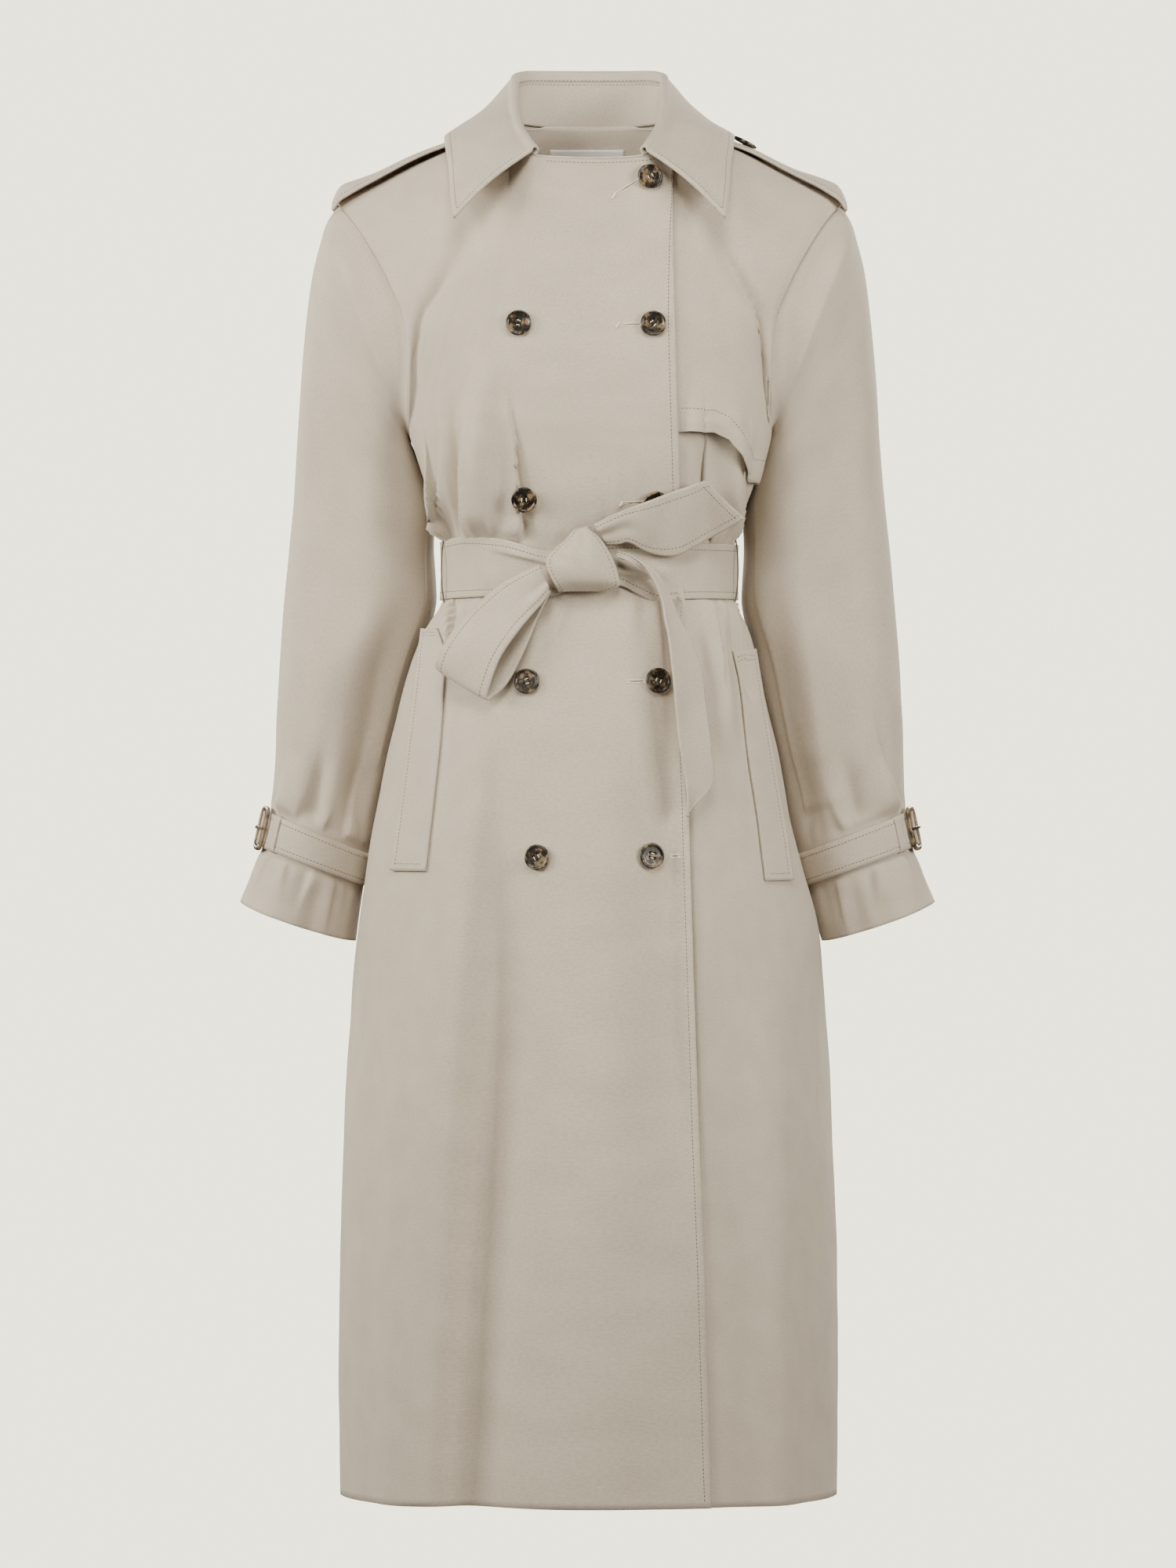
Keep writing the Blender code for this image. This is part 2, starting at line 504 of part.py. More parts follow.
def shell(name, points, wall=CLOTH, outside=None, finish="coat_cloth"):
    """A grid of points made a wall of cloth, whose outer face is the grid. A grid whose last
    column repeats its first becomes a tube. outside points out of the middle of the grid."""
    rows, columns = points.shape[:2]
    bm = bmesh.new()
    bmesh.ops.create_grid(bm, x_segments=columns - 1, y_segments=rows - 1, size=1.0)
    bm.verts.ensure_lookup_table()
    for vert, place in zip(bm.verts, points.reshape(-1, 3)):
        vert.co = place
    bm.normal_update()
    if outside is not None:
        bm.faces.ensure_lookup_table()
        facing = sum(
            face.normal.dot(Vector(outside[k // (columns - 1), k % (columns - 1)]))
            for k, face in enumerate(bm.faces)
        )
        if facing < 0:
            bmesh.ops.reverse_faces(bm, faces=bm.faces)
    bmesh.ops.remove_doubles(bm, verts=bm.verts, dist=1e-5)
    if wall is None:
        bmesh.ops.recalc_face_normals(bm, faces=bm.faces)
    mesh = bpy.data.meshes.new(name)
    bm.to_mesh(mesh)
    bm.free()
    mesh.shade_smooth()
    made = add_object(name, mesh, finish)
    if wall is not None:
        thick = made.modifiers.new("wall", "SOLIDIFY")
        thick.thickness = wall
        thick.offset = -1.0
    return made


def turned(name, profile, steps, place, axis, finish="horn"):
    """A turned piece whose axis points along `axis`, from (radius, height) pairs."""
    mesh = bpy.data.meshes.get("turned_" + finish)
    if mesh is None:
        mesh = bpy.data.meshes.new("turned_" + finish)
        edges = [(k, k + 1) for k in range(len(profile) - 1)]
        mesh.from_pydata([(radius, 0, high) for radius, high in profile], edges, [])
        mesh.materials.append(material(finish))
    made = bpy.data.objects.new(name, mesh)
    COAT.objects.link(made)
    spin = made.modifiers.new("turn", "SCREW")
    spin.steps = spin.render_steps = steps
    spin.use_merge_vertices = True
    spin.merge_threshold = 0.00005
    spin.use_smooth_shade = True
    tilt = Vector(axis).to_track_quat("Z", "Y").to_matrix().to_4x4()
    made.matrix_world = Matrix.Translation(place) @ tilt
    return made


# ------------------------------------------------------------ panels
def from_hem_up():
    """The heights of the panels' rows, as t."""
    upper = (1 - np.cos(np.linspace(0, math.pi, ARMHOLE_STEPS + 1))) / 2
    return np.concatenate([height(np.array(LOWER_Z)), upper])


def spread(start, stop, count):
    return np.linspace(start, stop, count, endpoint=False)


def front_column(cut, t):
    """The column of a cut: 0 is the right side seam, 1 the right front's edge and 2 the left
    side seam."""
    edge = front_edge_column(t)
    return np.where(cut <= 1, -1 + (edge + 1) * cut, edge + (1 - edge) * (cut - 1))


LOWER_Z = [
    *(-1.224, -1.140, -1.040, -0.940, -0.840, -0.750, -0.670, -0.600, -0.540, -0.490, -0.450),
    *(-0.4105, -0.384, -0.3575, -0.325, -0.290),
]
ARMHOLE_STEPS = 7  # from the armpit to the shoulder
ROWS = from_hem_up()
TOP_EDGE = float(front_edge_column(np.array([1.0]))[0])
RIGHT_NECK_CUT = (1 - NECK_AT) / (1 + TOP_EDGE)
LEFT_NECK_CUT = 1 + (NECK_AT - TOP_EDGE) / (1 - TOP_EDGE)
RIGHT_CUTS = np.array(
    [
        *spread(0, RIGHT_NECK_CUT, 11),
        *spread(RIGHT_NECK_CUT, (1 - COLLAR_END_AT) / (1 + TOP_EDGE), 3),
        *spread((1 - COLLAR_END_AT) / (1 + TOP_EDGE), (1 + COLLAR_END_AT) / (1 + TOP_EDGE), 4),
        *np.linspace((1 + COLLAR_END_AT) / (1 + TOP_EDGE), 1, 3),
    ]
)
LEFT_CUTS = np.array([1.0, *np.linspace(LEFT_NECK_CUT, 2, 11)])
BACK_COLUMNS = np.concatenate(
    [np.linspace(-1, -NECK_AT, 7), spread(-0.315, 0.42, 7), np.linspace(NECK_AT, 1, 7)]
)
SIDE_INSET = 0.0002  # in columns, off each side seam and armhole


def panel_grid(side, s, t, out):
    """A panel's points, moved out by `out` from its own facets, and their normals."""
    s = np.clip(s, -1 + SIDE_INSET, 1 - SIDE_INSET)
    points, _ = torso(side, s, t)
    normal = grid_normals(points, side)
    points = points + normal * np.broadcast_to(out, s.shape)[..., None]
    points[-1, :, 1] += (-1 if side == "front" else 1) * SHOULDER_GAP
    return points, normal, s


def right_front_grid(out=0.0):
    cut, t = np.meshgrid(RIGHT_CUTS, ROWS)
    return panel_grid("front", front_column(cut, t), t, out)


def left_front_grid(out=0.0):
    """The left front, which sinks by a layer where it runs under the right one."""
    underlap = float(np.mean((1 + column_of(UNDERLAP_X, np.array(LOWER_Z))) / (1 + TOP_EDGE)))
    first = int(np.searchsorted(RIGHT_CUTS, underlap))
    cut, t = np.meshgrid(np.concatenate([RIGHT_CUTS[first:-1], LEFT_CUTS]), ROWS)
    width = 0.6 - 0.5 * np.clip(t, 0, 1) ** 4
    sink = (CLOTH + LAYER_GAP) * (1 - ease((cut - 1) / width))
    return panel_grid("front", front_column(cut, t), t, out - sink)


def back_grid(out=0.0):
    s, t = np.meshgrid(BACK_COLUMNS, ROWS)
    return panel_grid("back", s, t, out)


def make_panels():
    for name, grid in [
        ("front_right", right_front_grid()),
        ("front_left", left_front_grid()),
        ("back", back_grid()),
    ]:
        points, normal, _ = grid
        shell(name, points, outside=normal)


def make_storm_flap():
    """A second layer over the left front, from the shoulder to a curved edge at the armpit."""
    points, normal, columns = left_front_grid(CLOTH + FLAP_CLEAR)
    keep = [k for k in range(points.shape[1]) if columns[-1, k] >= TOP_EDGE - 1e-6]
    points, normal = points[:, keep], normal[:, keep]
    above = [k for k in range(len(ROWS)) if ROWS[k] > 0]
    edge_x = [row.x for row in FLAP_BOTTOM]
    edge_z = [row.z for row in FLAP_BOTTOM]
    grid = np.empty((len(above) + 3, len(keep), 3))
    for k in range(len(keep)):
        line = points[:, k]
        stop = np.interp(np.interp(-0.285, line[:, 2], line[:, 0]), edge_x, edge_z)
        heights = stop + (line[above[0], 2] - stop) * np.linspace(0, 1, 4)[:3]
        for axis in range(3):
            grid[:3, k, axis] = np.interp(heights, line[:, 2], line[:, axis])
        grid[3:, k] = line[above]
    grid[-1] += (grid[-2] - grid[-1]) * FLAP_SHOULDER_SHARE
    for first, second, gap in ((0, 1, FLAP_EDGE_GAP), (-1, -2, FLAP_ARMHOLE_GAP)):
        away = grid[:, second] - grid[:, first]
        grid[:, first] += away / np.linalg.norm(away, axis=1)[:, None] * gap
    outside = np.concatenate([normal[above[:1]]] * 3 + [normal[above]])
    shell("storm_flap", grid, outside=outside)


# ------------------------------------------------------------ places on the coat
def find(side, x, z):
    """The s and t at which the torso's surface lies at x, z, by Newton's method."""
    x, z = np.broadcast_arrays(np.asarray(x, float), np.asarray(z, float))
    s = column_of(x, z)
    t = np.where(z < ARMPIT_Z, height(z), (z - ARMPIT_Z) / (SHOULDER_TIP[1] + 0.03 - ARMPIT_Z))
    step = 1e-4
    for _ in range(12):
        here = torso_base(side, s, t)
        by_s = (torso_base(side, s + step, t) - here) / step
        by_t = (torso_base(side, s, np.minimum(t + step, 0.99999)) - here) / step
        off_x, off_z = x - here[..., 0], z - here[..., 2]
        det = by_s[..., 0] * by_t[..., 2] - by_s[..., 2] * by_t[..., 0]
        det = np.where(np.abs(det) < 1e-9, 1e-9, det)
        s = s + np.clip((off_x * by_t[..., 2] - off_z * by_t[..., 0]) / det, -0.2, 0.2)
        t = t + np.clip((off_z * by_s[..., 0] - off_x * by_s[..., 2]) / det, -0.2, 0.2)
        s, t = np.clip(s, -0.999, 0.999), np.clip(t, -1, 0.999)
    return s, t


def on_front(half, s, t, out):
    """Points `out` above the facets of one front, at the columns s and heights t."""
    points, normal, _ = right_front_grid() if half == "right" else left_front_grid()
    cuts = RIGHT_CUTS
    if half == "left":
        points, normal, cuts = points[:, -len(LEFT_CUTS) :], normal[:, -len(LEFT_CUTS) :], LEFT_CUTS
    s, t = np.broadcast_arrays(np.asarray(s, float), np.asarray(t, float))
    edge = front_edge_column(t)
    cut = (s + 1) / (edge + 1) if half == "right" else 1 + (s - edge) / (1 - edge)
    lifted = points + normal * out
    column = np.interp(cut, cuts, np.arange(len(cuts)))
    row = np.interp(t, ROWS, np.arange(len(ROWS)))
    j = np.clip(column.astype(int), 0, len(cuts) - 2)
    i = np.clip(row.astype(int), 0, len(ROWS) - 2)
    across, up = (column - j)[..., None], (row - i)[..., None]
    found = []
    for grid in (lifted, normal):
        low = grid[i, j] * (1 - across) + grid[i, j + 1] * across
        high = grid[i + 1, j] * (1 - across) + grid[i + 1, j + 1] * across
        found.append(low * (1 - up) + high * up)
    return found[0], found[1]


def before_coat(x, z, out):
    """Points that lie `out` in front of the coat at x, z. Beyond the front of the body the belt
    keeps on straight, rather than turning round the side."""
    s, t = find("front", np.clip(x, -BELT_STRAIGHT_X, BELT_STRAIGHT_X), z)
    y = torso_base("front", s, t)[..., 1] - np.asarray(out)
    return np.stack(np.broadcast_arrays(x, y, z), axis=-1)


def ribbon(name, rungs, count, across=4, bulge=0.0):
    """A length of belt between its two edges, with its face towards -Y at its first rung."""
    first = before_coat(*np.array([(row.ax, row.az, row.a_out) for row in rungs]).T)
    second = before_coat(*np.array([(row.bx, row.bz, row.b_out) for row in rungs]).T)
    both = through(np.hstack([first, second]), count)
    share = np.linspace(0, 1, across + 1)[None, :, None]
    points = both[:, None, :3] * (1 - share) + both[:, None, 3:] * share
    along = np.gradient(points, axis=0)
    width = both[:, None, 3:] - both[:, None, :3]
    normal = np.cross(width, along)
    normal /= np.maximum(np.linalg.norm(normal, axis=-1, keepdims=True), 1e-9)
    if normal[0, 0, 1] > 0:
        normal = -normal
    points = points + normal * bulge * np.sin(share * math.pi)
    return shell(name, points, DOUBLE_CLOTH, outside=normal[:-1, :-1])


# ------------------------------------------------------------ sleeves
def armhole(side):
    """The armhole's edge as a closed loop, from the shoulder by the front and the armpit to the
    back, and the direction in which the panels run out at it."""
    upper = ROWS >= 0
    front = right_front_grid()[0] if side == "right" else left_front_grid()[0]
    back = back_grid()[0]
    edge, before = (0, 1) if side == "right" else (-1, -2)
    loops = []
    for column in (edge, before):
        loops.append(np.vstack([front[upper, column][::-1], back[upper, column][1:]]))
    run = loops[0] - loops[1]
    run /= np.linalg.norm(run, axis=1)[:, None]
    run[ARMHOLE_STEPS] = [run[ARMHOLE_STEPS][0], 0, -1]
    return loops[0], run / np.linalg.norm(run, axis=1)[:, None]


def sleeve_point(side, ring, angle, out=0.0):
    """Points of a sleeve's cloth. ring is 0 at the armhole and 14 at the cuff's edge; the angle
    is 0 outside, 90 in front and 180 against the body. Returns the points and what is outwards."""
    ring, angle = np.broadcast_arrays(np.asarray(ring, float), np.asarray(angle, float))
    sign = -1 if side == "right" else 1
    places = np.arange(1, len(SLEEVE_RINGS) + 1)
    column = {
        name: smooth(places, [getattr(row, name) for row in SLEEVE_RINGS], np.maximum(ring, 1))
        for name in Ring._fields
    }
    changed = "right_outer" if side == "right" else "left_inner"
    column[changed.split("_")[1] + "_x"] += read(SLEEVE_UNEVEN, changed, np.maximum(ring, 1))
    turn = np.radians(angle)
    along_x = (column["outer_x"] - column["inner_x"]) / 2
    along_z = (column["outer_z"] - column["inner_z"]) / 2
    centre_x = (column["outer_x"] + column["inner_x"]) / 2
    centre_z = (column["outer_z"] + column["inner_z"]) / 2
    spoke = np.stack(
        [along_x * np.cos(turn), -column["depth"] * np.sin(turn), along_z * np.cos(turn)], axis=-1
    )
    outward = spoke / np.linalg.norm(spoke, axis=-1, keepdims=True)
    spoke[..., 2] -= CUFF_DROP * ease((ring - STRAP_TO) / 2) * np.sin(turn)
    shift = 7.0 if side == "left" else 0.0
    lift = np.zeros(ring.shape)
    for fold in SLEEVE_FOLDS:
        down = (ring - fold.ring_top) / (fold.ring_bottom - fold.ring_top)
        at = fold.angle_top + (fold.angle_bottom - fold.angle_top) * down + shift
        off = (angle - at + 180) % 360 - 180
        inside = np.minimum(ease(down / 0.45), ease((1 - down) / 0.30))
        if fold.ring_bottom >= len(SLEEVE_RINGS):
            inside = ease(down / 0.5)
        lift += fold.depth * inside * np.exp(-((off / fold.width) ** 2))
    centre = np.stack([centre_x, column["y"], centre_z], axis=-1)
    points = centre + spoke + outward * (lift + out)[..., None]
    points[..., 0] *= sign
    outward = outward * np.array([sign, 1, 1])
    if np.any(ring < 1):
        hole, run = armhole(side)
        at = np.mod(angle, 360) / 360 * 2 * ARMHOLE_STEPS
        places = np.arange(2 * ARMHOLE_STEPS + 1)
        head = np.stack([np.interp(at, places, hole[:, k]) for k in range(3)], -1)
        leave = np.stack([np.interp(at, places, run[:, k]) for k in range(3)], -1)
        span = np.linalg.norm(points - head, axis=-1, keepdims=True)
        head = head + leave * HEAD_GAP + outward * out + [HEAD_GAP * sign, 0, 0]
        arrive = (points - head) / span
        share = np.clip(ring, 0, 1)[..., None]
        eased = share * share * (3 - 2 * share)
        points = (
            head * (1 - eased)
            + points * eased
            + leave * span * share * (1 - share) ** 2
            - arrive * span * share**2 * (1 - share) * 0.6
        )
    return points, outward


def make_sleeves():
    rings = np.array([0, 0.3, *range(1, len(SLEEVE_RINGS) + 1)])
    for side in ("right", "left"):
        angle, ring = np.meshgrid(np.linspace(0, 360, SLEEVE_COLUMNS + 1), rings)
        points, outward = sleeve_point(side, ring, angle)
        shell("sleeve_" + side, points, outside=outward)
        make_strap(side)


def make_strap(side):
    """The strap round the wrist, with a buckle and a keeper on its outer side."""
    across = np.linspace(STRAP_FROM + 0.06, STRAP_TO - 0.06, 3)
    angle, ring = np.meshgrid(np.linspace(0, 360, SLEEVE_COLUMNS + 1), across)
    points, outward = sleeve_point(side, ring, angle, STRAP_OUT)
    shell("cuff_strap_" + side, points, DOUBLE_CLOTH, outside=outward)
    place = strap_frame(side, BUCKLE_ANGLE[side])
    length, across, thick = BUCKLE_SIZE[1], BUCKLE_SIZE[0], BUCKLE_SIZE[2]
    turn = np.linspace(0, 2 * math.pi, 21)
    corner = np.stack([np.cos(turn), np.sin(turn)], -1)
    squared = np.sign(corner) * np.abs(corner) ** 0.45
    middle = squared * [(length - BUCKLE_BAR) / 2, (across - BUCKLE_BAR) / 2]
    section = np.linspace(0, 2 * math.pi, 7)
    lean = squared / np.linalg.norm(squared, axis=-1, keepdims=True)
    rise = STRAP_CLEAR + thick / 2
    frame = np.empty((len(turn), len(section), 3))
    frame[..., 0] = middle[:, :1] + lean[:, :1] * np.cos(section) * BUCKLE_BAR / 2
    frame[..., 1] = middle[:, 1:] + lean[:, 1:] * np.cos(section) * BUCKLE_BAR / 2
    frame[..., 2] = rise + np.sin(section)[None, :] * thick / 2
    ring = shell("cuff_buckle_" + side, frame, None, outside=None, finish="horn")
    ring.matrix_world = place
    bar = bmesh.new()
    bmesh.ops.create_cube(bar, size=1.0)
    for vert in bar.verts:
        narrow = 0.7 if vert.co.x > 0 else 1.0
        vert.co = (vert.co.x * (length - 0.001), vert.co.y * 0.0034 * narrow, vert.co.z * 0.0018)
        vert.co.z += STRAP_CLEAR + thick + 0.0013
    mesh = bpy.data.meshes.new("prong")
    bar.to_mesh(mesh)
    bar.free()
    add_object("cuff_prong_" + side, mesh, "horn").matrix_world = place
    spread_angle = np.linspace(-4.6, 4.6, 3) + KEEPER_ANGLE[side]
    angle, ring = np.meshgrid(spread_angle, np.linspace(STRAP_FROM + 0.03, STRAP_TO - 0.03, 5))
    points, outward = sleeve_point(side, ring, angle, STRAP_OUT + LAYER_GAP + CLOTH)
    shell("cuff_keeper_" + side, points, CLOTH, outside=outward)


def strap_frame(side, angle):
    """A frame on the strap's outer face: x round the wrist, y up the sleeve, z outwards."""
    out = STRAP_OUT
    middle = (STRAP_FROM + STRAP_TO) / 2
    here = sleeve_point(side, middle, angle, out)[0]
    along = sleeve_point(side, middle, angle + 2, out)[0] - sleeve_point(side, middle, angle - 2, out)[0]
    up = sleeve_point(side, middle - 0.4, angle, out)[0] - sleeve_point(side, middle + 0.4, angle, out)[0]
    outward = sleeve_point(side, middle, angle)[1]
    z = np.cross(along, up)
    z = z / np.linalg.norm(z) * (1 if z @ outward > 0 else -1)
    y = up / np.linalg.norm(up)
    x = np.cross(y, z)
    x /= np.linalg.norm(x)
    y = np.cross(z, x)
    matrix = Matrix([[x[k], y[k], z[k], here[k]] for k in range(3)] + [[0, 0, 0, 1]])
    return matrix


# ------------------------------------------------------------ collar
def neck_edge(sign, side, s):
    """The panels' own top edge, which runs straight from column to column."""
    if side == "back":
        points, _, columns = back_grid()
        return np.stack([np.interp(s * sign, columns[-1], points[-1, :, k]) for k in range(3)], -1)
    points, _, columns = right_front_grid()
    left, _, left_columns = left_front_grid()
    beyond = left_columns[-1] > TOP_EDGE + 1e-6
    columns = np.concatenate([columns[-1], left_columns[-1][beyond]])
    points = np.vstack([points[-1], left[-1][beyond] + [0, 0, CLOTH]])
    return np.stack([np.interp(s * sign, columns, points[:, k]) for k in range(3)], -1)


def collar_frame():
    """Round the neck from the right front end to the left one: the neckline, the roll, the edge,
    the crown and the outward direction."""
    back_share = 0.56
    half = np.linspace(0, 1, 14)
    rows = []
    for sign in (-1, 1):
        for place in half if sign > 0 else half[:0:-1]:
            if place <= back_share:
                base = neck_edge(sign, "back", place / back_share * NECK_AT)
            else:
                s = NECK_AT + (COLLAR_END_AT - NECK_AT) * (place - back_share) / (1 - back_share)
                base = neck_edge(sign, "front", s)
            row = {name: float(read(COLLAR, name, place)) for name in Collar._fields}
            roll = np.array([row["roll_x"] * sign, row["roll_y"], row["roll_z"]])
            edge = np.array([row["edge_x"] * sign, row["edge_y"], row["edge_z"]])
            outward = np.array([edge[0] - roll[0], edge[1] - roll[1], 0])
            outward /= np.linalg.norm(outward)
            rows.append((base, roll, edge, row["crown"], outward))
    return [np.array([row[k] for row in rows]) for k in range(5)]


def make_collar():
    """The stand round the neck, and the collar that turns over it and falls outside."""
    base, roll, edge, crown, outward = collar_frame()
    radius = COLLAR_FOLD / 2 + DOUBLE_CLOTH
    middle = roll - [0, 0, radius]
    foot = base - outward * DOUBLE_CLOTH + [0, 0, NECK_SEAM_GAP]
    inner = middle - outward * radius
    stand = [foot + (inner - foot) * share for share in np.linspace(0, STAND_SHARE, 4)]
    shell("collar_stand", np.array(stand), DOUBLE_CLOTH, outside=np.array([-outward] * 4))
    length = np.linalg.norm(inner - foot, axis=1)[:, None]
    rows = [foot + (inner - foot) * (STAND_SHARE + NECK_SEAM_GAP / length)]
    facing = [-outward]
    for turn in np.linspace(0, math.pi, 6):
        rows.append(middle - outward * radius * math.cos(turn) + [0, 0, radius * math.sin(turn)])
        facing.append(-outward * math.cos(turn) + [0, 0, math.sin(turn)])
    outer = middle + outward * radius
    fall = edge - outer
    upward = np.cross(np.cross(fall, [0, 0, 1]), fall)
    upward /= np.linalg.norm(upward, axis=1)[:, None]
    for share in FALL_ROWS[1:]:
        bulge = crown[:, None] * math.sin(math.pi * share)
        rows.append(outer + fall * share + upward * bulge)
        facing.append(upward)
    shell("collar", np.array(rows), DOUBLE_CLOTH, outside=np.array(facing))


def make_neck_inside():
    """The facing inside the back neck, and the label on it."""
    points, normal, s = back_grid(-(CLOTH + LAYER_GAP))
    rows = ROWS > 0.66
    columns = np.abs(BACK_COLUMNS) < NECK_AT + 0.001
    shell("neck_facing", points[rows][:, columns], FACING, outside=normal[rows][:, columns])
    sink = CLOTH + FACING + 3 * LAYER_GAP
    label_rows = LABEL_Z[0] + (LABEL_Z[1] - LABEL_Z[0]) * np.linspace(0, 1, 4)
    x, z = np.meshgrid(np.linspace(*LABEL_X, 7), label_rows)
    s, t = find("back", x, z)
    points, normal = torso("back", s, t, -sink)
    shell("label", points, LABEL, outside=normal, finish="label_cloth")


def make_epaulettes():
    """A strap along each shoulder, from the collar to the sleeve, with a button near the neck."""
    for side, sign in (("right", -1), ("left", 1)):
        share = np.array([*np.linspace(0, 0.9, 10), 0.955, 1.0])
        x = EPAULETTE_FROM + (EPAULETTE_TO - EPAULETTE_FROM) * share
        half = read(EPAULETTE, "half_width", share)
        lift = read(EPAULETTE, "lift", share)
        across = np.linspace(-1, 1, 7)
        y = across[None, :] * half[:, None]
        drop = EPAULETTE_DROP * (y / 0.025) ** 2 * read(EPAULETTE, "wrap", share)[:, None]
        point_back = (1 - np.abs(across[None, :])) * read(EPAULETTE, "point", share)[:, None]
        grid_x = x[:, None] - point_back
        slope = (NECK_POINT[1] - SHOULDER_TIP[1]) / (SHOULDER_TIP[0] - NECK_POINT[0])
        seam_z = NECK_POINT[1] - (grid_x - NECK_POINT[0]) * slope
        grid = np.stack([grid_x * sign, y, seam_z + lift[:, None] - drop], -1)
        up = np.zeros_like(grid)
        up[..., 2] = 1
        shell("epaulette_" + side, grid, DOUBLE_CLOTH, outside=up)
        at = (EPAULETTE_BUTTON_X[side] - EPAULETTE_FROM) / (EPAULETTE_TO - EPAULETTE_FROM)
        level = NECK_POINT[1] - (EPAULETTE_BUTTON_X[side] - NECK_POINT[0]) * slope
        high = level + float(read(EPAULETTE, "lift", at)) + BUTTON_SHANK
        axis = Vector((sign * slope, 0, 1)).normalized()
        place = (sign * EPAULETTE_BUTTON_X[side], EPAULETTE_BUTTON_Y[side], high)
        turned("button_epaulette_" + side, BUTTON_PROFILE, 16, place, axis)


# ------------------------------------------------------------ belt
def make_belt():
    """The band round the waist, the knot, the bow and the two ends."""
    z = np.array([BELT_BOTTOM_Z, (BELT_TOP_Z + BELT_BOTTOM_Z) / 2, BELT_TOP_Z])
    middle = np.array([0, BELT_MIDDLE_OUT, 0])
    right, left = RIGHT_CUTS, LEFT_CUTS[1:]
    cut, t = np.meshgrid(np.concatenate([right, left]), height(z))
    runs = [("front", front_column(cut, t), t), ("back", *np.meshgrid(-BACK_COLUMNS[1:-1], height(z)))]
    rows = []
    for side, s, t in runs:
        s = np.clip(s, -1 + SIDE_INSET, 1 - SIDE_INSET)
        lift = np.maximum(fold_height(side, s, torso_base(side, s, t)[..., 2]), 0)
        out = lift + LAYER_GAP + DOUBLE_CLOTH + middle[:, None]
        base = torso_base(side, s, t)
        rows.append(base + torso_normal(side, s, t) * out[..., None])
    start = rows[0][:, :1]
    points = np.concatenate([*rows, start], axis=1)
    centre = np.array([0, 0, 0])
    facing = (points - centre) * [1, 1, 0]
    shell("belt_band", points, DOUBLE_CLOTH, outside=facing)
    ribbon("belt_bow_loop", BOW_LOOP, 26, 3, 0.0015)
    ribbon("belt_end_up", END_UP, 12, 4, 0.0015)
    ribbon("belt_end_down", END_DOWN, 18, 3, 0.0020)
    bm = bmesh.new()
    bmesh.ops.create_uvsphere(bm, u_segments=16, v_segments=10, radius=1.0)
    centre = before_coat(*KNOT_CENTRE)
    for vert in bm.verts:
        place = np.sign(vert.co) * np.abs(vert.co) ** 0.82 * KNOT_HALF
        wide = 1 - 0.22 * place[2] / KNOT_HALF[2]
        place[0] = place[0] * wide - place[2] * KNOT_LEAN
        vert.co = Vector(centre) + Vector(place)
    mesh = bpy.data.meshes.new("belt_knot")
    bm.to_mesh(mesh)
    bm.free()
    mesh.shade_smooth()
    add_object("belt_knot", mesh)


# ------------------------------------------------------------ trim
def make_pockets():
    for name, pocket in POCKETS.items():
        inside = [row for row in LOWER_Z if pocket.z_bottom + 0.01 < row < pocket.z_top - 0.005]
        z = np.array([pocket.z_bottom, *inside, pocket.z_top])
        down = (z - pocket.z_top) / (pocket.z_bottom - pocket.z_top)
        outer = pocket.x_top + (pocket.x_bottom - pocket.x_top) * down
        share = np.linspace(0, 1, 7)
        s_outer, t = find("front", outer, z)
        around = (read(TORSO, "half_width", z) + read(TORSO, "front", z)) * math.pi / 4
        s = s_outer[:, None] + share[None, :] * pocket.turn * pocket.width / around[:, None]
        half = "right" if pocket.turn > 0 else "left"
        points, normal = on_front(half, s, t[:, None], WELT_CLEAR + DOUBLE_CLOTH)
        shell(name, points, DOUBLE_CLOTH, outside=normal)


def make_buttons():
    for button in FRONT_BUTTONS:
        s, t = find("front", button.x, button.z)
        place, normal = on_front("right", s, t, BUTTON_SHANK)
        turned(button.name, BUTTON_PROFILE, 16, place, normal)


def main():
    make_panels()
    make_storm_flap()
    make_sleeves()
    make_collar()
    make_neck_inside()
    make_epaulettes()
    make_belt()
    make_pockets()
    make_buttons()


for old in list(bpy.data.objects):
    bpy.data.objects.remove(old)
COAT = bpy.data.collections.new("trench_coat")
bpy.context.scene.collection.children.link(COAT)
main()
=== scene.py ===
"""A double-breasted trench coat: its cloth, trim and stitching, and a plain studio round it.

Metres, +Z up, the front of the coat towards -Y and the wearer's right at -X. Each cloth piece is
a fine grid laid on the coat's own surfaces and given a wall; what lies on a panel is that panel
moved out. Each operator makes one piece or one group of like pieces.
"""

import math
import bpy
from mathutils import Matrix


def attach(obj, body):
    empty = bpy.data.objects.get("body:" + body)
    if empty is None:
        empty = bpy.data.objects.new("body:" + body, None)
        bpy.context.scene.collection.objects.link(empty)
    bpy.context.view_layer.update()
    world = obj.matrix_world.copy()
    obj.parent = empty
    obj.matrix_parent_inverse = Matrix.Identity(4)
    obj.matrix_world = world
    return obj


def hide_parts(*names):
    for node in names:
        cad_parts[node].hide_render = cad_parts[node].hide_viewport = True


bl_info = {
    "name": "Trench coat",
    "version": (1, 0, 0),
    "blender": (4, 5, 0),
    "location": "View3D > Sidebar > Coat",
    "description": "Makes the cloth, trim and stitching of a belted trench coat",
    "category": "Object",
}

from collections import namedtuple

import bmesh
import bpy
import numpy as np
from bpy.props import FloatProperty, FloatVectorProperty, PointerProperty
from mathutils import Matrix, Vector

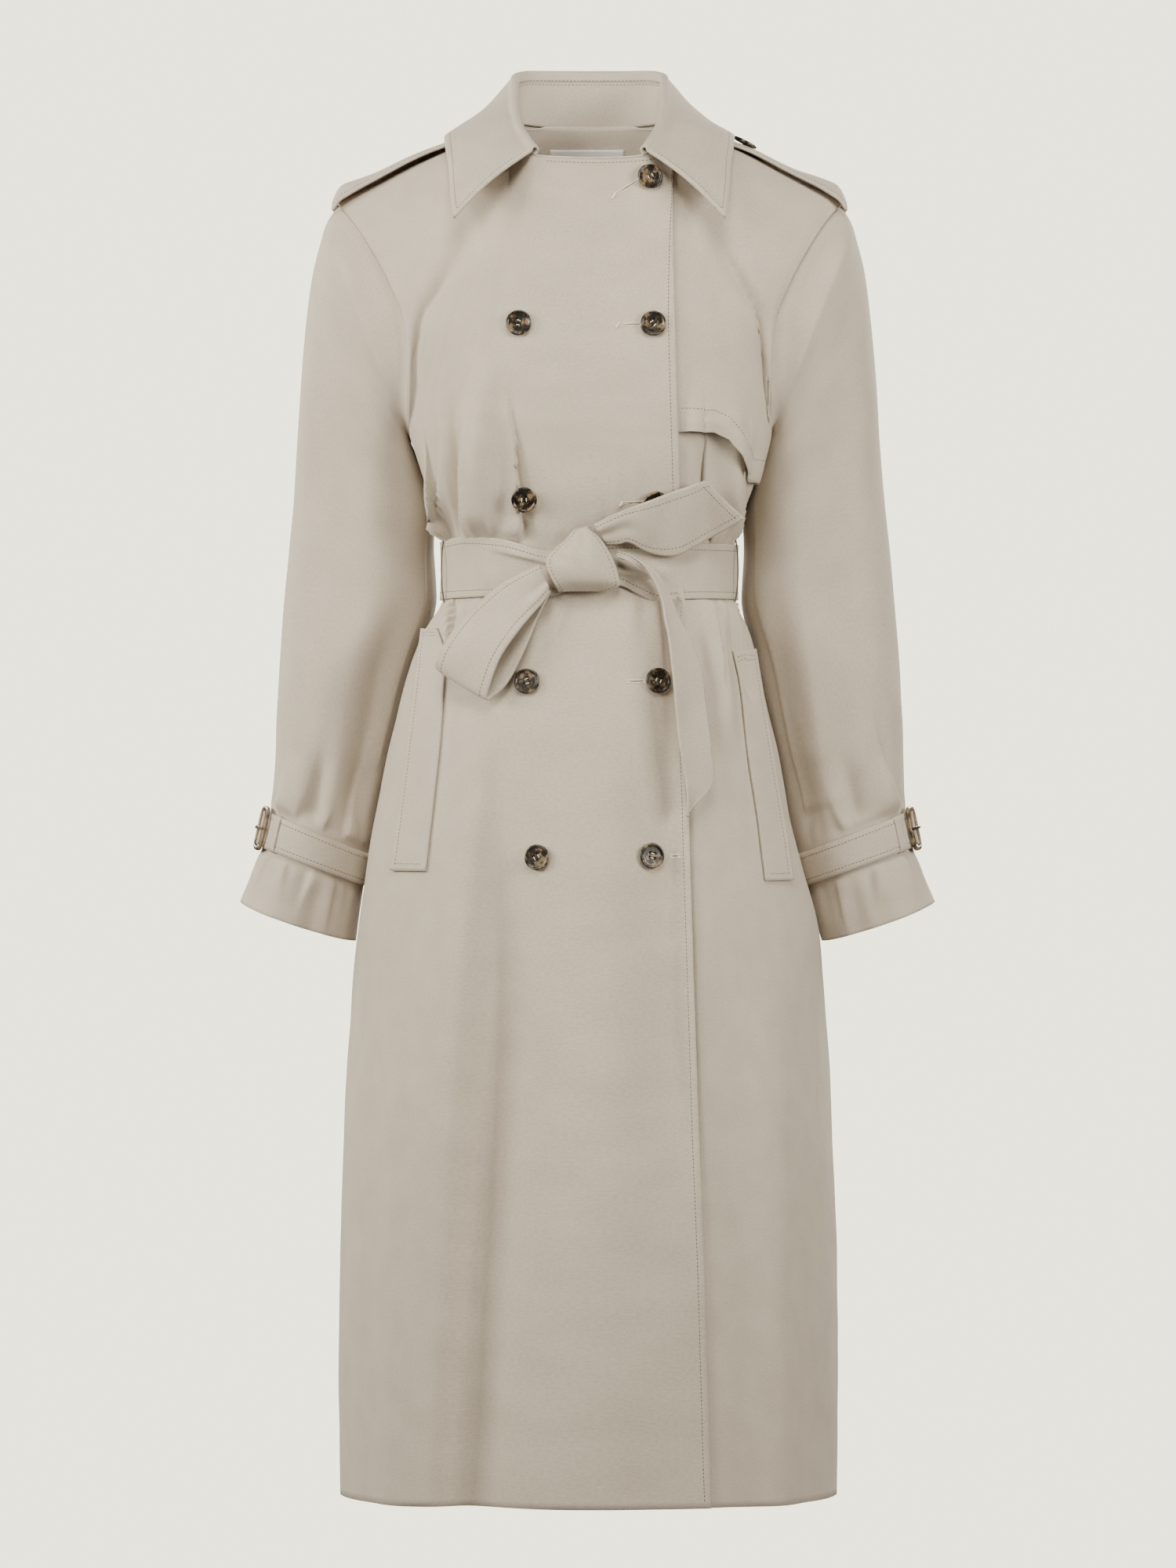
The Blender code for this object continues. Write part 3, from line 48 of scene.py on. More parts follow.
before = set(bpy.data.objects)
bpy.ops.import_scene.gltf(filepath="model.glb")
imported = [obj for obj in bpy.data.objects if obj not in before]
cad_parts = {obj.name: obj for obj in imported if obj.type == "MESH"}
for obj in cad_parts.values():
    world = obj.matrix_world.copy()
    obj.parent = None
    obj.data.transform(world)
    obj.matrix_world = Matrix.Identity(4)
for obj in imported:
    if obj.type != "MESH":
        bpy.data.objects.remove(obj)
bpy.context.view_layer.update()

# ---- sizes
CLOTH = 0.0016  # wall of a single layer of coat cloth
DOUBLE_CLOTH = 0.0022  # belt, straps and collar, which are two layers
NECK_SEAM_GAP = 0.0008
COLLAR_SEAM_GAP = 0.0001
SHOULDER_GAP = 0.0007
LAYER_GAP = 0.0007  # between a piece and the panel that it lies on

HEM_Z = -1.224
ARMPIT_Z = -0.264
SHOULDER_TIP = (0.23, -0.05)  # x, z
NECK_POINT = (0.075, 0.026)  # x, z where the shoulder seam meets the neck
NECK_BACK = (0.058, 0.0225)  # y, z of the neckline at the centre back
COLLAR_END = (0.0493, -0.082, -0.013)  # where the collar ends on the front neckline
THROAT = (-0.087, -0.016)  # y, z of the neckline at the centre front
NECK_AT = 0.42  # the column that runs up to the neck point
COLLAR_END_AT = 0.22  # the column that runs up to the collar's end
ARMHOLE_FRONT = 0.058  # how far the armhole reaches forward and back
ARMHOLE_BACK = 0.078
ARMPIT_Y = -0.03
SLEEVE_TUCK = 0.003  # how far a sleeve head starts under the edge of the panels
ARMHOLE_SPREAD = 0.13  # how far in from the armhole, in columns, its own curve reaches

BELT_TOP_Z, BELT_BOTTOM_Z = -0.3575, -0.4105
BELT_MIDDLE_Z = (BELT_TOP_Z + BELT_BOTTOM_Z) / 2
SHOULDER_SLOPE = (NECK_POINT[1] - SHOULDER_TIP[1]) / (SHOULDER_TIP[0] - NECK_POINT[0])
BUTTON_SHANK = 0.0016
BUCKLE_SIZE = (0.0415, 0.03, 0.0034)  # across the strap, along it, thickness
BUCKLE_BAR = 0.0045
BUCKLE_ANGLE = 14.0
KEEPER_ANGLE = 42.0
STRAP_CLEAR = 0.0006
STRAP_OUT = 0.0038  # the strap's outer face above the sleeve
FACING = 0.0012
LABEL = 0.0008
LABEL_X = (-0.0372, 0.0322)
LABEL_Z = (0.0058, -0.0175)
WELT_CLEAR = 0.0009
BELT_STRAIGHT_X = 0.105
BELT_MIDDLE_OUT = 0.0022  # the band's middle row, which bridges the hollow of the waist
EDGE_LIFT = 0.0048  # how far the overlap's edge stands up
EDGE_LIFT_WIDTH = 0.11  # as a share of the right front's width
FLAP_FLARE = 0.0085  # how far the storm flap's lower edge stands off
SIDE_INSET = 0.00001  # in columns, off each side seam and armhole

PANEL_ROWS_BELOW, PANEL_ROWS_ABOVE = 150, 56
LEFT_COLUMNS, BACK_COLUMNS = 125, 150
UNDERLAP_CUT, UNDERLAP_COLUMNS = 0.42, 30
SLEEVE_COLUMNS, SLEEVE_ROWS = 200, 132
STRAP_FROM, STRAP_TO = 11, 12  # the strap lies between these rings, the armhole being 0


def table(columns, rows, plain=""):
    """Rows with named columns, written in millimetres and kept in metres. The plain columns are
    shares, degrees or numbers of rings, and stay as they are. What a row leaves out is 0."""
    row_kind = namedtuple("Row", columns, defaults=[0] * len(columns.split()))
    per = [1 if name in plain.split() else 1000 for name in row_kind._fields]
    return [row_kind(*(value / unit for value, unit in zip(row_kind(*row), per))) for row in rows]


TORSO = table("z half_width shift front back square side_y", [
    (-1224, 225.8, -0.9, 168, 176, 2.25, 0),
    (-1080, 227.2, -1, 164, 172, 2.25, 0),
    (-936, 223.9, -1, 158, 166, 2.25, 0),
    (-800, 217.1, -1, 152, 160, 2.25, 0),
    (-721, 210.9, -0.7, 147, 154, 2.25, 0),
    (-650, 197.5, -4.5, 141, 146, 2.25, 0),
    (-607, 188, -6, 136, 139, 2.25, 0),
    (-550, 177.5, -6, 129, 130, 2.3, 0),
    (-493, 163.5, -5.5, 120, 117, 2.35, 0),
    (-438, 147, -3, 109, 100, 2.4, 0),
    (-411, 132.8, -0.5, 99, 87, 2.4, 0),
    (-384, 130.3, 0, 96, 83, 2.4, -2),
    (-357, 133, 0, 99, 86, 2.4, -10),
    (-307, 149, 0, 112, 98, 2.5, -26),
    (-264, 163, 0, 118, 104, 2.6, -30),
], "square")
SHOULDERS = table("rise edge_x front back", [  # rise 0 is the armpit's height, 1 the shoulder seam
    (0, 163, 118, 104),
    (0.25, 164, 116, 107),
    (0.486, 168, 110, 105),
    (0.635, 180, 105, 99),
    (0.735, 191, 101, 93),
    (0.84, 204, 96, 84),
    (0.93, 217, 91, 72),
    (1, 230, 87, 58),
], "rise")
# A fold runs from its top to its bottom. Depth is outwards, or inwards if negative; lean moves
# the steep side towards +X; top and bottom are the shares of the depth that are left at its ends.
FOLD_COLUMNS = "x_top z_top x_bottom z_bottom width depth bottom top lean"
FRONT_FOLDS = table(FOLD_COLUMNS, [
    (-106, -170, -95, -440, 18, 8, 0.2),
    (-83.6, -200, -74, -360, 10, -5, 0.5),
    (-124, -215, -113, -370, 9, -4.2, 0.4),
    (-146, -270, -126, -370, 10, 5, 0.4),
    (112, -250, 108, -370, 11, -5.5, 0.4, 0.2),
    (132, -250, 124, -370, 10, 5.5, 0.4, 0.2),
    (-108, -400, -120, -500, 12, -5, 0, 0.3),
    (94, -400, 108, -600, 13, -6, 0, 0.4),
    (110, -400, 128, -560, 12, 5, 0, 0.4),
    (122, -400, 150, -520, 10, -4.5, 0, 0.4),
    (-70, -470, -115, -1224, 34, -20, 0.9, 0.1, 0.5),
    (176, -50, 158, -235, 11, -6.5, 0, 0.3),
    (-172, -60, -160, -235, 12, -5.5, 0, 0.3),
    (-160, -640, -170, -1224, 36, 8, 1),
    (68, -420, 82, -1000, 24, -12, 0, 0.2, -0.4),
    (160, -640, 168, -1224, 34, 8.5, 1),
    (-10, -700, -10, -1224, 50, 6.5, 0.9),
], "bottom top lean")
BACK_FOLDS = table(FOLD_COLUMNS, [
    (-110, -280, -85, -370, 13, 5, 0.4),
    (-60, -240, -52, -370, 13, -5, 0.4),
    (-20, -230, -18, -370, 14, 5.5, 0.4),
    (28, -240, 22, -370, 14, -5, 0.4),
    (74, -260, 62, -370, 13, 5, 0.4),
    (122, -290, 100, -370, 12, -4.5, 0.4),
    (-84, -400, -120, -620, 18, -6.5, 0, 0.4),
    (-30, -400, -46, -700, 20, 6, 0, 0.4),
    (24, -400, 36, -660, 20, -6.5, 0, 0.4),
    (78, -400, 112, -640, 18, 6, 0, 0.4),
    (-130, -600, -150, -1224, 40, 11, 1),
    (-40, -640, -48, -1224, 40, -11, 1),
    (56, -620, 64, -1224, 40, 11, 1),
    (150, -640, 166, -1224, 34, -8.5, 1),
], "bottom top lean")
FOLDS = {"front": FRONT_FOLDS, "back": BACK_FOLDS}
# The edge of the right front, which lies over the left one.
FRONT_EDGE_X = [(-1.224, 0.1068), (-0.62, 0.0892), (-0.3, 0.0795), (-0.01, 0.0725)]

# From below the armhole, which is ring 0, down to the cuff's edge.
SLEEVE_RINGS = table("ring outer_x outer_z inner_x inner_z y depth", [
    (1, 241.5, -76, 161, -272, 2, 75),
    (2, 250, -110, 156.5, -281, 12, 77),
    (3, 256, -155, 150, -293, 21, 78),
    (4, 261.2, -207, 144, -310, 28, 77),
    (5, 265.5, -264, 140.5, -332, 33, 74),
    (6, 271, -329, 141.5, -364, 36, 70),
    (7, 278.5, -400, 140, -407, 39, 66),
    (8, 284.5, -471, 158.5, -468, 42, 62),
    (9, 287.8, -543, 183, -560, 48, 55),
    (10, 289, -580, 196.5, -612, 50, 51),
    (11, 290, -603, 201.5, -641, 50, 47),
    (12, 297, -638, 207.5, -673, 50, 47),
    (13, 306.5, -662, 211, -697, 50, 50),
    (14, 316.5, -686, 214.5, -721.5, 50, 54),
], "ring")
# How the two sleeves differ from the rings: the right one's outer side and the left one's inner.
SLEEVE_UNEVEN = table("ring right_outer left_inner", [
    (1, 1, 0),
    (3, 1, 0),
    (7, 0, -0.8),
    (8, 0, -5.5),
    (9, 0, -11),
    (10, 1, -13),
    (11, 2.5, -11.8),
    (12, 3.6, -8),
    (13, 4, -5.8),
    (14, 4.3, -1.6),
], "ring")
CUFF_DROP = 0.0042  # how much lower the cuff's edge hangs in front
# A fold on a sleeve keeps to an angle round it: 0 outside, 90 in front, 180 against the body.
SLEEVE_FOLDS = table("angle_top angle_bottom ring_top ring_bottom width depth", [
    (62, 80, 3, 8.5, 24, -9),
    (20, 30, 1, 6, 22, 4),
    (120, 130, 6, 10.8, 16, -9),
    (84, 76, 8.6, 11, 12, -8.5),
    (50, 44, 9, 11, 12, 4.5),
    (66, 60, 12, 14, 13, 4),
    (100, 104, 12, 14, 13, -4.5),
    (250, 240, 4, 9, 24, -6),
    (300, 296, 8.6, 11, 15, -5),
    (220, 216, 9, 11, 14, 4.5),
    (280, 285, 12, 14, 15, 4),
], "angle_top angle_bottom ring_top ring_bottom width")

# From the collar's middle at the back, 0, to its front end, 1.
COLLAR = table("at roll_x roll_y roll_z edge_x edge_y edge_z crown", [
    (0, 0, 66.5, 77, 0, 96, 4, 4),
    (0.22, 52, 62, 77, 74, 93, 4, 4),
    (0.42, 68.5, 40, 71.5, 119, 58, 4, 3),
    (0.6, 68.5, 3, 47, 131, 4, 12, 3),
    (0.7, 66.5, -19, 33, 131.5, -26, 4.5, 4),
    (0.8, 62.5, -43, 19, 128.5, -58, -19, 5),
    (1, 49, -86, -4, 123, -121.5, -70, 3),
], "at")
COLLAR_FOLD = 0.0042  # from the stand's wall to the fall's, at the roll
STAND_SHARE = 0.86  # how far up the stand its seam with the collar lies

# The two edges of a length of belt: x, z, and the distance in front of the coat, of each.
RUNG_COLUMNS = "ax az a_out bx bz b_out"
BOW_LOOP = table(RUNG_COLUMNS, [  # out of the knot, down to the fold and back behind
    (-44, -381.5, 19, -36, -406, 18),
    (-60, -389, 22.5, -42, -416, 20.5),
    (-81.3, -400.6, 23, -54, -429, 21.5),
    (-109.3, -424.4, 23, -66, -444, 22.5),
    (-130.3, -452.5, 21, -80, -465, 22.5),
    (-137.3, -466.5, 18, -88, -485, 21.5),
    (-138.5, -475.5, 12, -92.5, -502, 16),
    (-133, -476, 7.2, -87, -501, 9),
    (-120, -466, 6, -72, -486, 6.5),
    (-98, -444, 6, -56.5, -456, 6.5),
    (-70, -418, 7.8, -45, -427, 7.8),
    (-44, -396, 10, -34.5, -406, 10),
])
END_UP = table(RUNG_COLUMNS, [  # the end that points up to the right
    (4, -346, 19, 15, -364, 15),
    (15.4, -339.9, 20, 26, -364, 16),
    (25.9, -335.7, 19.5, 33.5, -362, 16.5),
    (36, -331.7, 19, 40, -364, 15),
    (45.6, -328, 19, 50, -370, 13),
    (60, -322.8, 18.5, 64, -374.2, 14),
    (74, -317.6, 18, 78, -373.5, 16.5),
    (85, -313.6, 17.5, 91.8, -367.5, 17),
    (96, -309.6, 17, 111, -356.5, 16.5),
    (103.7, -306.9, 16, 139.5, -340.3, 16),
])
END_DOWN = table(RUNG_COLUMNS, [  # the end that hangs
    (24, -369, 15, 26, -376, 12),
    (35.8, -372.5, 20, 35, -379, 14),
    (45.6, -379.5, 23.5, 50, -383.5, 15),
    (52.6, -388.6, 25, 60, -390.5, 15),
    (58.9, -400.5, 26, 67.5, -401, 14.5),
    (63.8, -414.6, 26.5, 73.7, -414.6, 14),
    (66.6, -430.7, 26.5, 79.9, -430.7, 13),
    (70.8, -450.3, 26, 89.3, -449, 12),
    (73.6, -478.4, 25, 99.8, -478.4, 11),
    (75.7, -506.4, 23.5, 103.7, -506.4, 10),
    (81.3, -550.6, 20, 108, -550.6, 9.5),
    (85.5, -578.6, 17, 109.5, -578.6, 9.5),
    (86.9, -608, 14, 89, -605, 13.5),
])

Pocket = namedtuple("Pocket", "x_top x_bottom z_top z_bottom turn width")
POCKETS = {  # the outer edge of each welt, and its width along the cloth
    "pocket_welt_right": Pocket(-0.149, -0.1765, -0.439, -0.657, 1, 0.045),
    "pocket_welt_left": Pocket(0.147, 0.1805, -0.457, -0.666, -1, 0.042),
}
FLAP_BOTTOM = table("x z", [  # the storm flap's lower edge
    (60, -264),
    (90, -262.5),
    (108, -264),
    (122, -270),
    (136, -285),
    (146, -307),
])
FLAP_SHOULDER_SHARE = 0.12  # of the last row, left free at the shoulder seam

# Shares along an epaulette from its point, near the neck, to its end, at the sleeve.
EPAULETTE = table("along half_width lift wrap point", [
    (0, 19, 6.2, 1, 14),
    (0.2, 19.6, 8, 0.9, 0),
    (0.32, 20, 9.6, 0.9, 0),
    (0.65, 22.6, 11.2, 1.1, 0),
    (0.8, 24.5, 13.4, 1.4, 0),
    (0.92, 26, 14.8, 1.7, 0),
    (0.97, 26.6, 12.2, 1.5, 0),
    (1, 27, 5, 1.1, 0),
], "along wrap")
EPAULETTE_FROM, EPAULETTE_TO = 0.105, 0.2342
EPAULETTE_DROP = 0.0074  # how much lower the strap lies 25 mm from its middle

Button = namedtuple("Button", "name x z")
FRONT_BUTTONS = [
    Button("button_throat", 0.0536, -0.033),
    Button("button_chest_right", -0.0634, -0.1655),
    Button("button_chest_left", 0.057, -0.1665),
    Button("button_waist_right", -0.0584, -0.322),
    Button("button_waist_left", 0.0591, -0.3255),
    Button("button_hip_right", -0.0562, -0.4865),
    Button("button_hip_left", 0.0604, -0.486),
    Button("button_skirt_right", -0.0476, -0.643),
    Button("button_skirt_left", 0.0567, -0.6415),
]
EPAULETTE_BUTTON_X = {"right": 0.108, "left": 0.141}
EPAULETTE_BUTTON_Y = {"right": 0.005, "left": 0.0}


# A pleat is a fold with one sharp side. sharp and broad are the widths of its two sides, and
# sharp is towards +X where it is positive. top and bottom are the shares left at its ends.
PLEAT_COLUMNS = "x_top z_top x_bottom z_bottom depth sharp broad top bottom"
FRONT_PLEATS = table(PLEAT_COLUMNS, [
    (-112.1, -185, -107.9, -357, 3.4, -1.8, 20, 0, 1),
    (-79, -205, -64, -357, 5.2, 1.7, 22, 0, 1),
    (-135, -240, -131, -357, 2.6, -2, 12, 0, 1),
    (-153, -255, -126.2, -357, 5, 1.8, 14, 0, 1),
    (-93, -290, -88, -357, 1.2, 2.2, 10, 0, 1),
    (106, -255, 111, -357, 4.4, -1.8, 18, 0.2, 1),
    (139.6, -265, 129, -357, 3.6, 1.8, 12, 0.2, 1),
    (90, -300, 92, -357, 1.8, 2.2, 12, 0, 1),
    (-124, -411, -131, -462, 3.2, 1.8, 14, 1, 0),
    (-109, -411, -102, -500, 3, -2, 16, 1, 0),
    (-70, -411, -76, -470, 1.4, 2.2, 14, 1, 0),
    (80.5, -411, 102, -545, 4.4, -1.8, 20, 1, 0),
    (102.2, -411, 120, -505, 4.6, 1.7, 14, 1, 0),
    (116, -411, 129, -450, 2.6, 1.8, 10, 1, 0),
    (127, -411, 145, -475, 3.4, 2, 12, 1, 0),
    (60, -411, 70, -560, 1.6, 3, 20, 0.8, 0),
], "top bottom")
BACK_PLEATS = table(PLEAT_COLUMNS, [
    (-118, -270, -105, -357, 3.6, 2, 15, 0, 1),
    (-82, -225, -76, -357, 4, -2, 18, 0, 1),
    (-42, -260, -40, -357, 3, 2, 14, 0, 1),
    (12, -205, 10, -357, 4, -2, 20, 0, 1),
    (56, -250, 49, -357, 3.4, 2, 15, 0, 1),
    (96, -235, 84, -357, 4.2, -2, 18, 0, 1),
    (130, -285, 116, -357, 3, 2, 12, 0, 1),
    (-108, -411, -125, -500, 4, 2, 16, 1, 0),
    (-60, -411, -72, -540, 4.2, -2, 18, 1, 0),
    (-14, -411, -17, -490, 3, 2, 15, 1, 0),
    (42, -411, 52, -560, 4.2, -2, 18, 1, 0),
    (98, -411, 118, -505, 3.8, 2, 15, 1, 0),
], "top bottom")
PLEATS = {"front": FRONT_PLEATS, "back": BACK_PLEATS}
PLEAT_LEAN = 0.55  # how far a crest leans over its hollow, as a share of its depth
PLEAT_CREST = 0.005  # how much of the broad side leans with it
PLEAT_VALLEY = 0.6  # share of a pleat's depth that the hollow beside its sharp side has
PLEAT_REACH = 0.008  # how far that hollow reaches from a pleat, and from a crease in degrees
CREASE_REACH = 7.0
DRAPE_MORE = 0.7  # how much deeper the cloth drapes than the solids, as a share
DRAPE_WITHIN = 0.195  # in from the sides, so that the outline stays
GATHER_DEPTH = 0.0014  # of the small uneven gathers next to the belt
GATHER_REACH = 0.03

# A crease on a sleeve. Its sharp side is towards larger angles where sharp is positive.
CREASE_COLUMNS = "angle_top angle_bottom ring_top ring_bottom depth sharp broad"
LEFT_CREASES = table(CREASE_COLUMNS, [
    (148, 140, 2.6, 9.8, 4.6, 4, 30),
    (104, 110, 4, 9, 1.8, -7, 26),
    (70, 32, 7.6, 11, 6, -3.2, 22),
    (42, 48, 12, 14.6, 5.8, -3.2, 16),
    (112, 96, 9.2, 11, 3.4, 3.5, 14),
    (88, 84, 9.9, 11, 2.6, 3, 10),
    (76, 86, 12, 13.6, 3.2, 3.4, 12),
    (118, 124, 12, 14.4, 3.4, 3.4, 14),
    (14, 10, 12, 13.8, 2.8, -3.2, 12),
], "angle_top angle_bottom ring_top ring_bottom sharp broad")
RIGHT_CREASES = table(CREASE_COLUMNS, [
    (150, 144, 2.6, 9, 2.8, 4, 30),
    (77, 60, 8.8, 11, 3.6, 3.4, 16),
    (136, 120, 8.4, 11, 5.2, -4, 24),
    (104, 92, 9.8, 11, 3, 3.2, 12),
    (30, 36, 9.6, 11, 2.6, -3, 12),
    (62, 68, 12, 13.4, 3.4, 3.2, 13),
    (94, 88, 12, 13.7, 3.8, -3.2, 13),
    (116, 120, 12, 14.4, 3.6, 3.4, 14),
    (34, 30, 12, 13.6, 2.6, 3, 12),
], "angle_top angle_bottom ring_top ring_bottom sharp broad")
BOTH_CREASES = table(CREASE_COLUMNS, [
    (205, 212, 9, 11, 3.6, 3.4, 16),
    (262, 256, 8.6, 11, 4, -3.6, 18),
    (318, 322, 9.6, 11, 3, 3.2, 14),
    (228, 222, 12, 14.2, 3.4, 3.4, 14),
    (284, 290, 12, 14.4, 3.8, -3.4, 15),
    (340, 336, 12, 13.6, 2.8, 3.2, 12),
], "angle_top angle_bottom ring_top ring_bottom sharp broad")
CREASES = {"left": LEFT_CREASES, "right": RIGHT_CREASES, "both": BOTH_CREASES}

# The knot's band from its top to its bottom: height, the middle and half of its width.
KNOT = table("z middle half_width out", [
    (-347.6, -2.5, 3.5, 12),
    (-351.1, -5.6, 9.1, 19),
    (-358.9, -5.6, 15.5, 25.5),
    (-368, -7.7, 23.9, 30),
    (-377.1, -8.8, 29.8, 32.5),
    (-384.1, -7.4, 31.2, 33),
    (-395.4, -3.5, 30.2, 30),
    (-400.3, -1.8, 29.1, 25),
    (-403.8, -4, 25, 19),
    (-406, -9, 19, 15),
])
# Soft ridges of the knot: place across, height, width.
KNOT_RIDGES = ((-0.3, 0.001, 0.3), (0.35, 0.0008, 0.25))
KNOT_DIMPLES = (  # place across and down, depth, width, height
    (-0.55, 0.34, 0.0034, 0.16, 0.05),
    (-0.6, 0.5, 0.0026, 0.2, 0.05),
    (0.1, 0.2, 0.0014, 0.3, 0.05),
)

# How far inside the edges the topstitching runs, and the stitches' own size.
STITCH_PITCH = 0.0034
STITCH_LENGTH = 0.0026
STITCH_WIDTH = 0.0008
EDGE_STITCH = 0.0062
COLLAR_STITCH = 0.0058
BELT_STITCH_SHARE = 0.115
FLAP_STITCH = 0.021
STRAP_STITCH = 0.005

ButtonHole = namedtuple("ButtonHole", "button from_x length lean tail")
BUTTON_HOLES = [  # where each begins, from its button's middle, which way it runs, and its thread
    ButtonHole("button_throat", -0.006, 0.024, 0.62, 1),
    ButtonHole("button_chest_left", -0.008, 0.022, 0.02, 1),
    ButtonHole("button_waist_left", -0.008, 0.021, 0.04, 1),
    ButtonHole("button_hip_left", -0.008, 0.019, 0.02, 0),
    ButtonHole("button_skirt_left", 0.019, 0.008, 0.04, 0),
]


# ---- interpolation
def smooth(xs, ys, at):
    """Values at `at` on a smooth curve through the points, which never overshoots them."""
    xs = np.asarray(xs, float)
    ys = np.asarray(ys, float)
    step = np.diff(xs)
    slope = np.diff(ys) / step
    tangent = np.empty_like(ys)
    tangent[0], tangent[-1] = slope[0], slope[-1]
    product = slope[:-1] * slope[1:]
    total = slope[:-1] + slope[1:]
    tangent[1:-1] = np.where(product > 0, 2 * product / np.where(total == 0, 1, total), 0)
    at = np.clip(np.asarray(at, float), xs[0], xs[-1])
    k = np.clip(np.searchsorted(xs, at, side="right") - 1, 0, len(xs) - 2)
    t = (at - xs[k]) / step[k]
    start = (1 + 2 * t) * (1 - t) ** 2 * ys[k] + t * (1 - t) ** 2 * step[k] * tangent[k]
    end = t * t * (3 - 2 * t) * ys[k + 1] + t * t * (t - 1) * step[k] * tangent[k + 1]
    return start + end


def read(rows, column, at):
    """A column of a table whose first column is the place, read at `at`."""
    return smooth([row[0] for row in rows], [getattr(row, column) for row in rows], at)


def ease(x):
    """0 up to 0, 1 from 1 on, and a smooth rise between."""
    x = np.clip(x, 0, 1)
    return x * x * (3 - 2 * x)


def between(first, last, share):
    return first + (last - first) * share


def unit(vectors):
    """The vectors, each made one long."""
    return vectors / np.maximum(np.linalg.norm(vectors, axis=-1, keepdims=True), 1e-12)


def distances(line):
    """How far along a line each of its points lies."""
    return np.concatenate([[0], np.cumsum(np.linalg.norm(np.diff(line, axis=0), axis=1))])


def along_line(at, places, line):
    """The points at `at` on a line whose own points lie at `places`."""
    return np.stack([np.interp(at, places, line[:, k]) for k in range(line.shape[1])], axis=-1)


def through(points, count):
    """`count` points spaced evenly along a Catmull-Rom curve through the given points."""
    points = np.asarray(points, float)
    ends = [2 * points[0] - points[1], *points, 2 * points[-1] - points[-2]]
    t = np.linspace(0, 1, 16, endpoint=False)[:, None]
    fine = []
    for p0, p1, p2, p3 in zip(ends, ends[1:], ends[2:], ends[3:]):
        square = 2 * p0 - 5 * p1 + 4 * p2 - p3
        cube = 3 * p1 - p0 - 3 * p2 + p3
        fine.append(0.5 * (2 * p1 + (p2 - p0) * t + square * t**2 + cube * t**3))
    fine = np.vstack([*fine, points[-1:]])
    places = distances(fine)
    return along_line(np.linspace(0, places[-1], count), places, fine)


# ---- the torso's surface
def neckline(side, s):
    """Where the columns end at the top: on the shoulder seam or on the neckline."""
    s = np.abs(s)
    out = np.clip((s - NECK_AT) / (1 - NECK_AT), 0, 1)
    (neck_x, neck_z), (tip_x, tip_z) = NECK_POINT, SHOULDER_TIP
    shoulder = [between(neck_x, tip_x, out), np.zeros_like(s), between(neck_z, tip_z, out)]
    if side == "back":
        turn = np.clip(s / NECK_AT, 0, 1) * math.pi / 2
        z = between(NECK_BACK[1], neck_z, 1 - np.cos(turn))
        neck = [neck_x * np.sin(turn), NECK_BACK[0] * np.cos(turn), z]
    else:
        turn = np.clip((s - COLLAR_END_AT) / (NECK_AT - COLLAR_END_AT), 0, 1) * math.pi / 2
        near = np.clip(s / COLLAR_END_AT, 0, 1)
        end_x, end_y, end_z = COLLAR_END
        x = end_x * near + (neck_x - end_x) * np.sin(turn)
        y = between(THROAT[0], end_y, near**2) * np.cos(turn)
        neck = [x, y, between(THROAT[1], end_z, near**2) + (neck_z - end_z) * (1 - np.cos(turn))]
    return [np.where(s < NECK_AT, n, h) for n, h in zip(neck, shoulder)]


def torso_base(side, s, t):
    """The torso before its folds. s is -1 to 1 from the right side seam to the left one;
    t is -1 at the hem, 0 at the armpit and 1 at the shoulder seam and neckline."""
    s, t = np.broadcast_arrays(np.asarray(s, float), np.asarray(t, float))
    sign = -1.0 if side == "front" else 1.0
    z = ARMPIT_Z + np.minimum(t, 0) * (ARMPIT_Z - HEM_Z)
    square = read(TORSO, "square", z)
    across = np.sign(s) * np.abs(np.sin(s * math.pi / 2)) ** (2 / square)
    toward = np.abs(np.cos(s * math.pi / 2)) ** (2 / square)
    side_y = read(TORSO, "side_y", z)
    x_low = read(TORSO, "shift", z) + read(TORSO, "half_width", z) * across
    y_low = side_y + (sign * read(TORSO, side, z) - side_y) * toward

    rise = np.clip(t, 0, 1)
    top_x, top_y, top_z = neckline(side, s)
    edge = read(SHOULDERS, "edge_x", rise)
    mix = ease(rise)
    x_high = edge * ((1 - mix) * across + mix * np.sign(s) * top_x / SHOULDER_TIP[0])
    cap = np.sqrt(1 - np.minimum(rise, 0.9999) ** 4)
    reach = ARMHOLE_FRONT if side == "front" else ARMHOLE_BACK
    hole = 2 * np.sqrt(rise * (1 - rise))
    near = np.exp(-(((1 - np.abs(s)) / ARMHOLE_SPREAD) ** 2))
    hole = hole * (near + (1 - near) * ease(rise / 0.45))
    rim = (sign * reach * hole + ARMPIT_Y * (1 - rise)) / cap
    wall = rim + (sign * read(SHOULDERS, side, rise) - rim) * toward
    y_high = top_y + (wall - top_y) * np.sqrt(1 - rise**4)
    z_high = ARMPIT_Z + (top_z - ARMPIT_Z) * rise
    low, high = (x_low, y_low, z), (x_high, y_high, z_high)
    return np.stack([np.where(t > 0, above, below) for above, below in zip(high, low)], axis=-1)


def torso_normal(side, s, t):
    step = 1e-3
    after, before = np.minimum(s + step, 1), np.maximum(s - step, -1)
    along_s = torso_base(side, after, t) - torso_base(side, before, t)
    above, below = np.minimum(t + step, 1), np.maximum(t - step, -1)
    along_t = torso_base(side, s, above) - torso_base(side, s, below)
    return unit(np.cross(along_s, along_t) * (1 if side == "front" else -1))


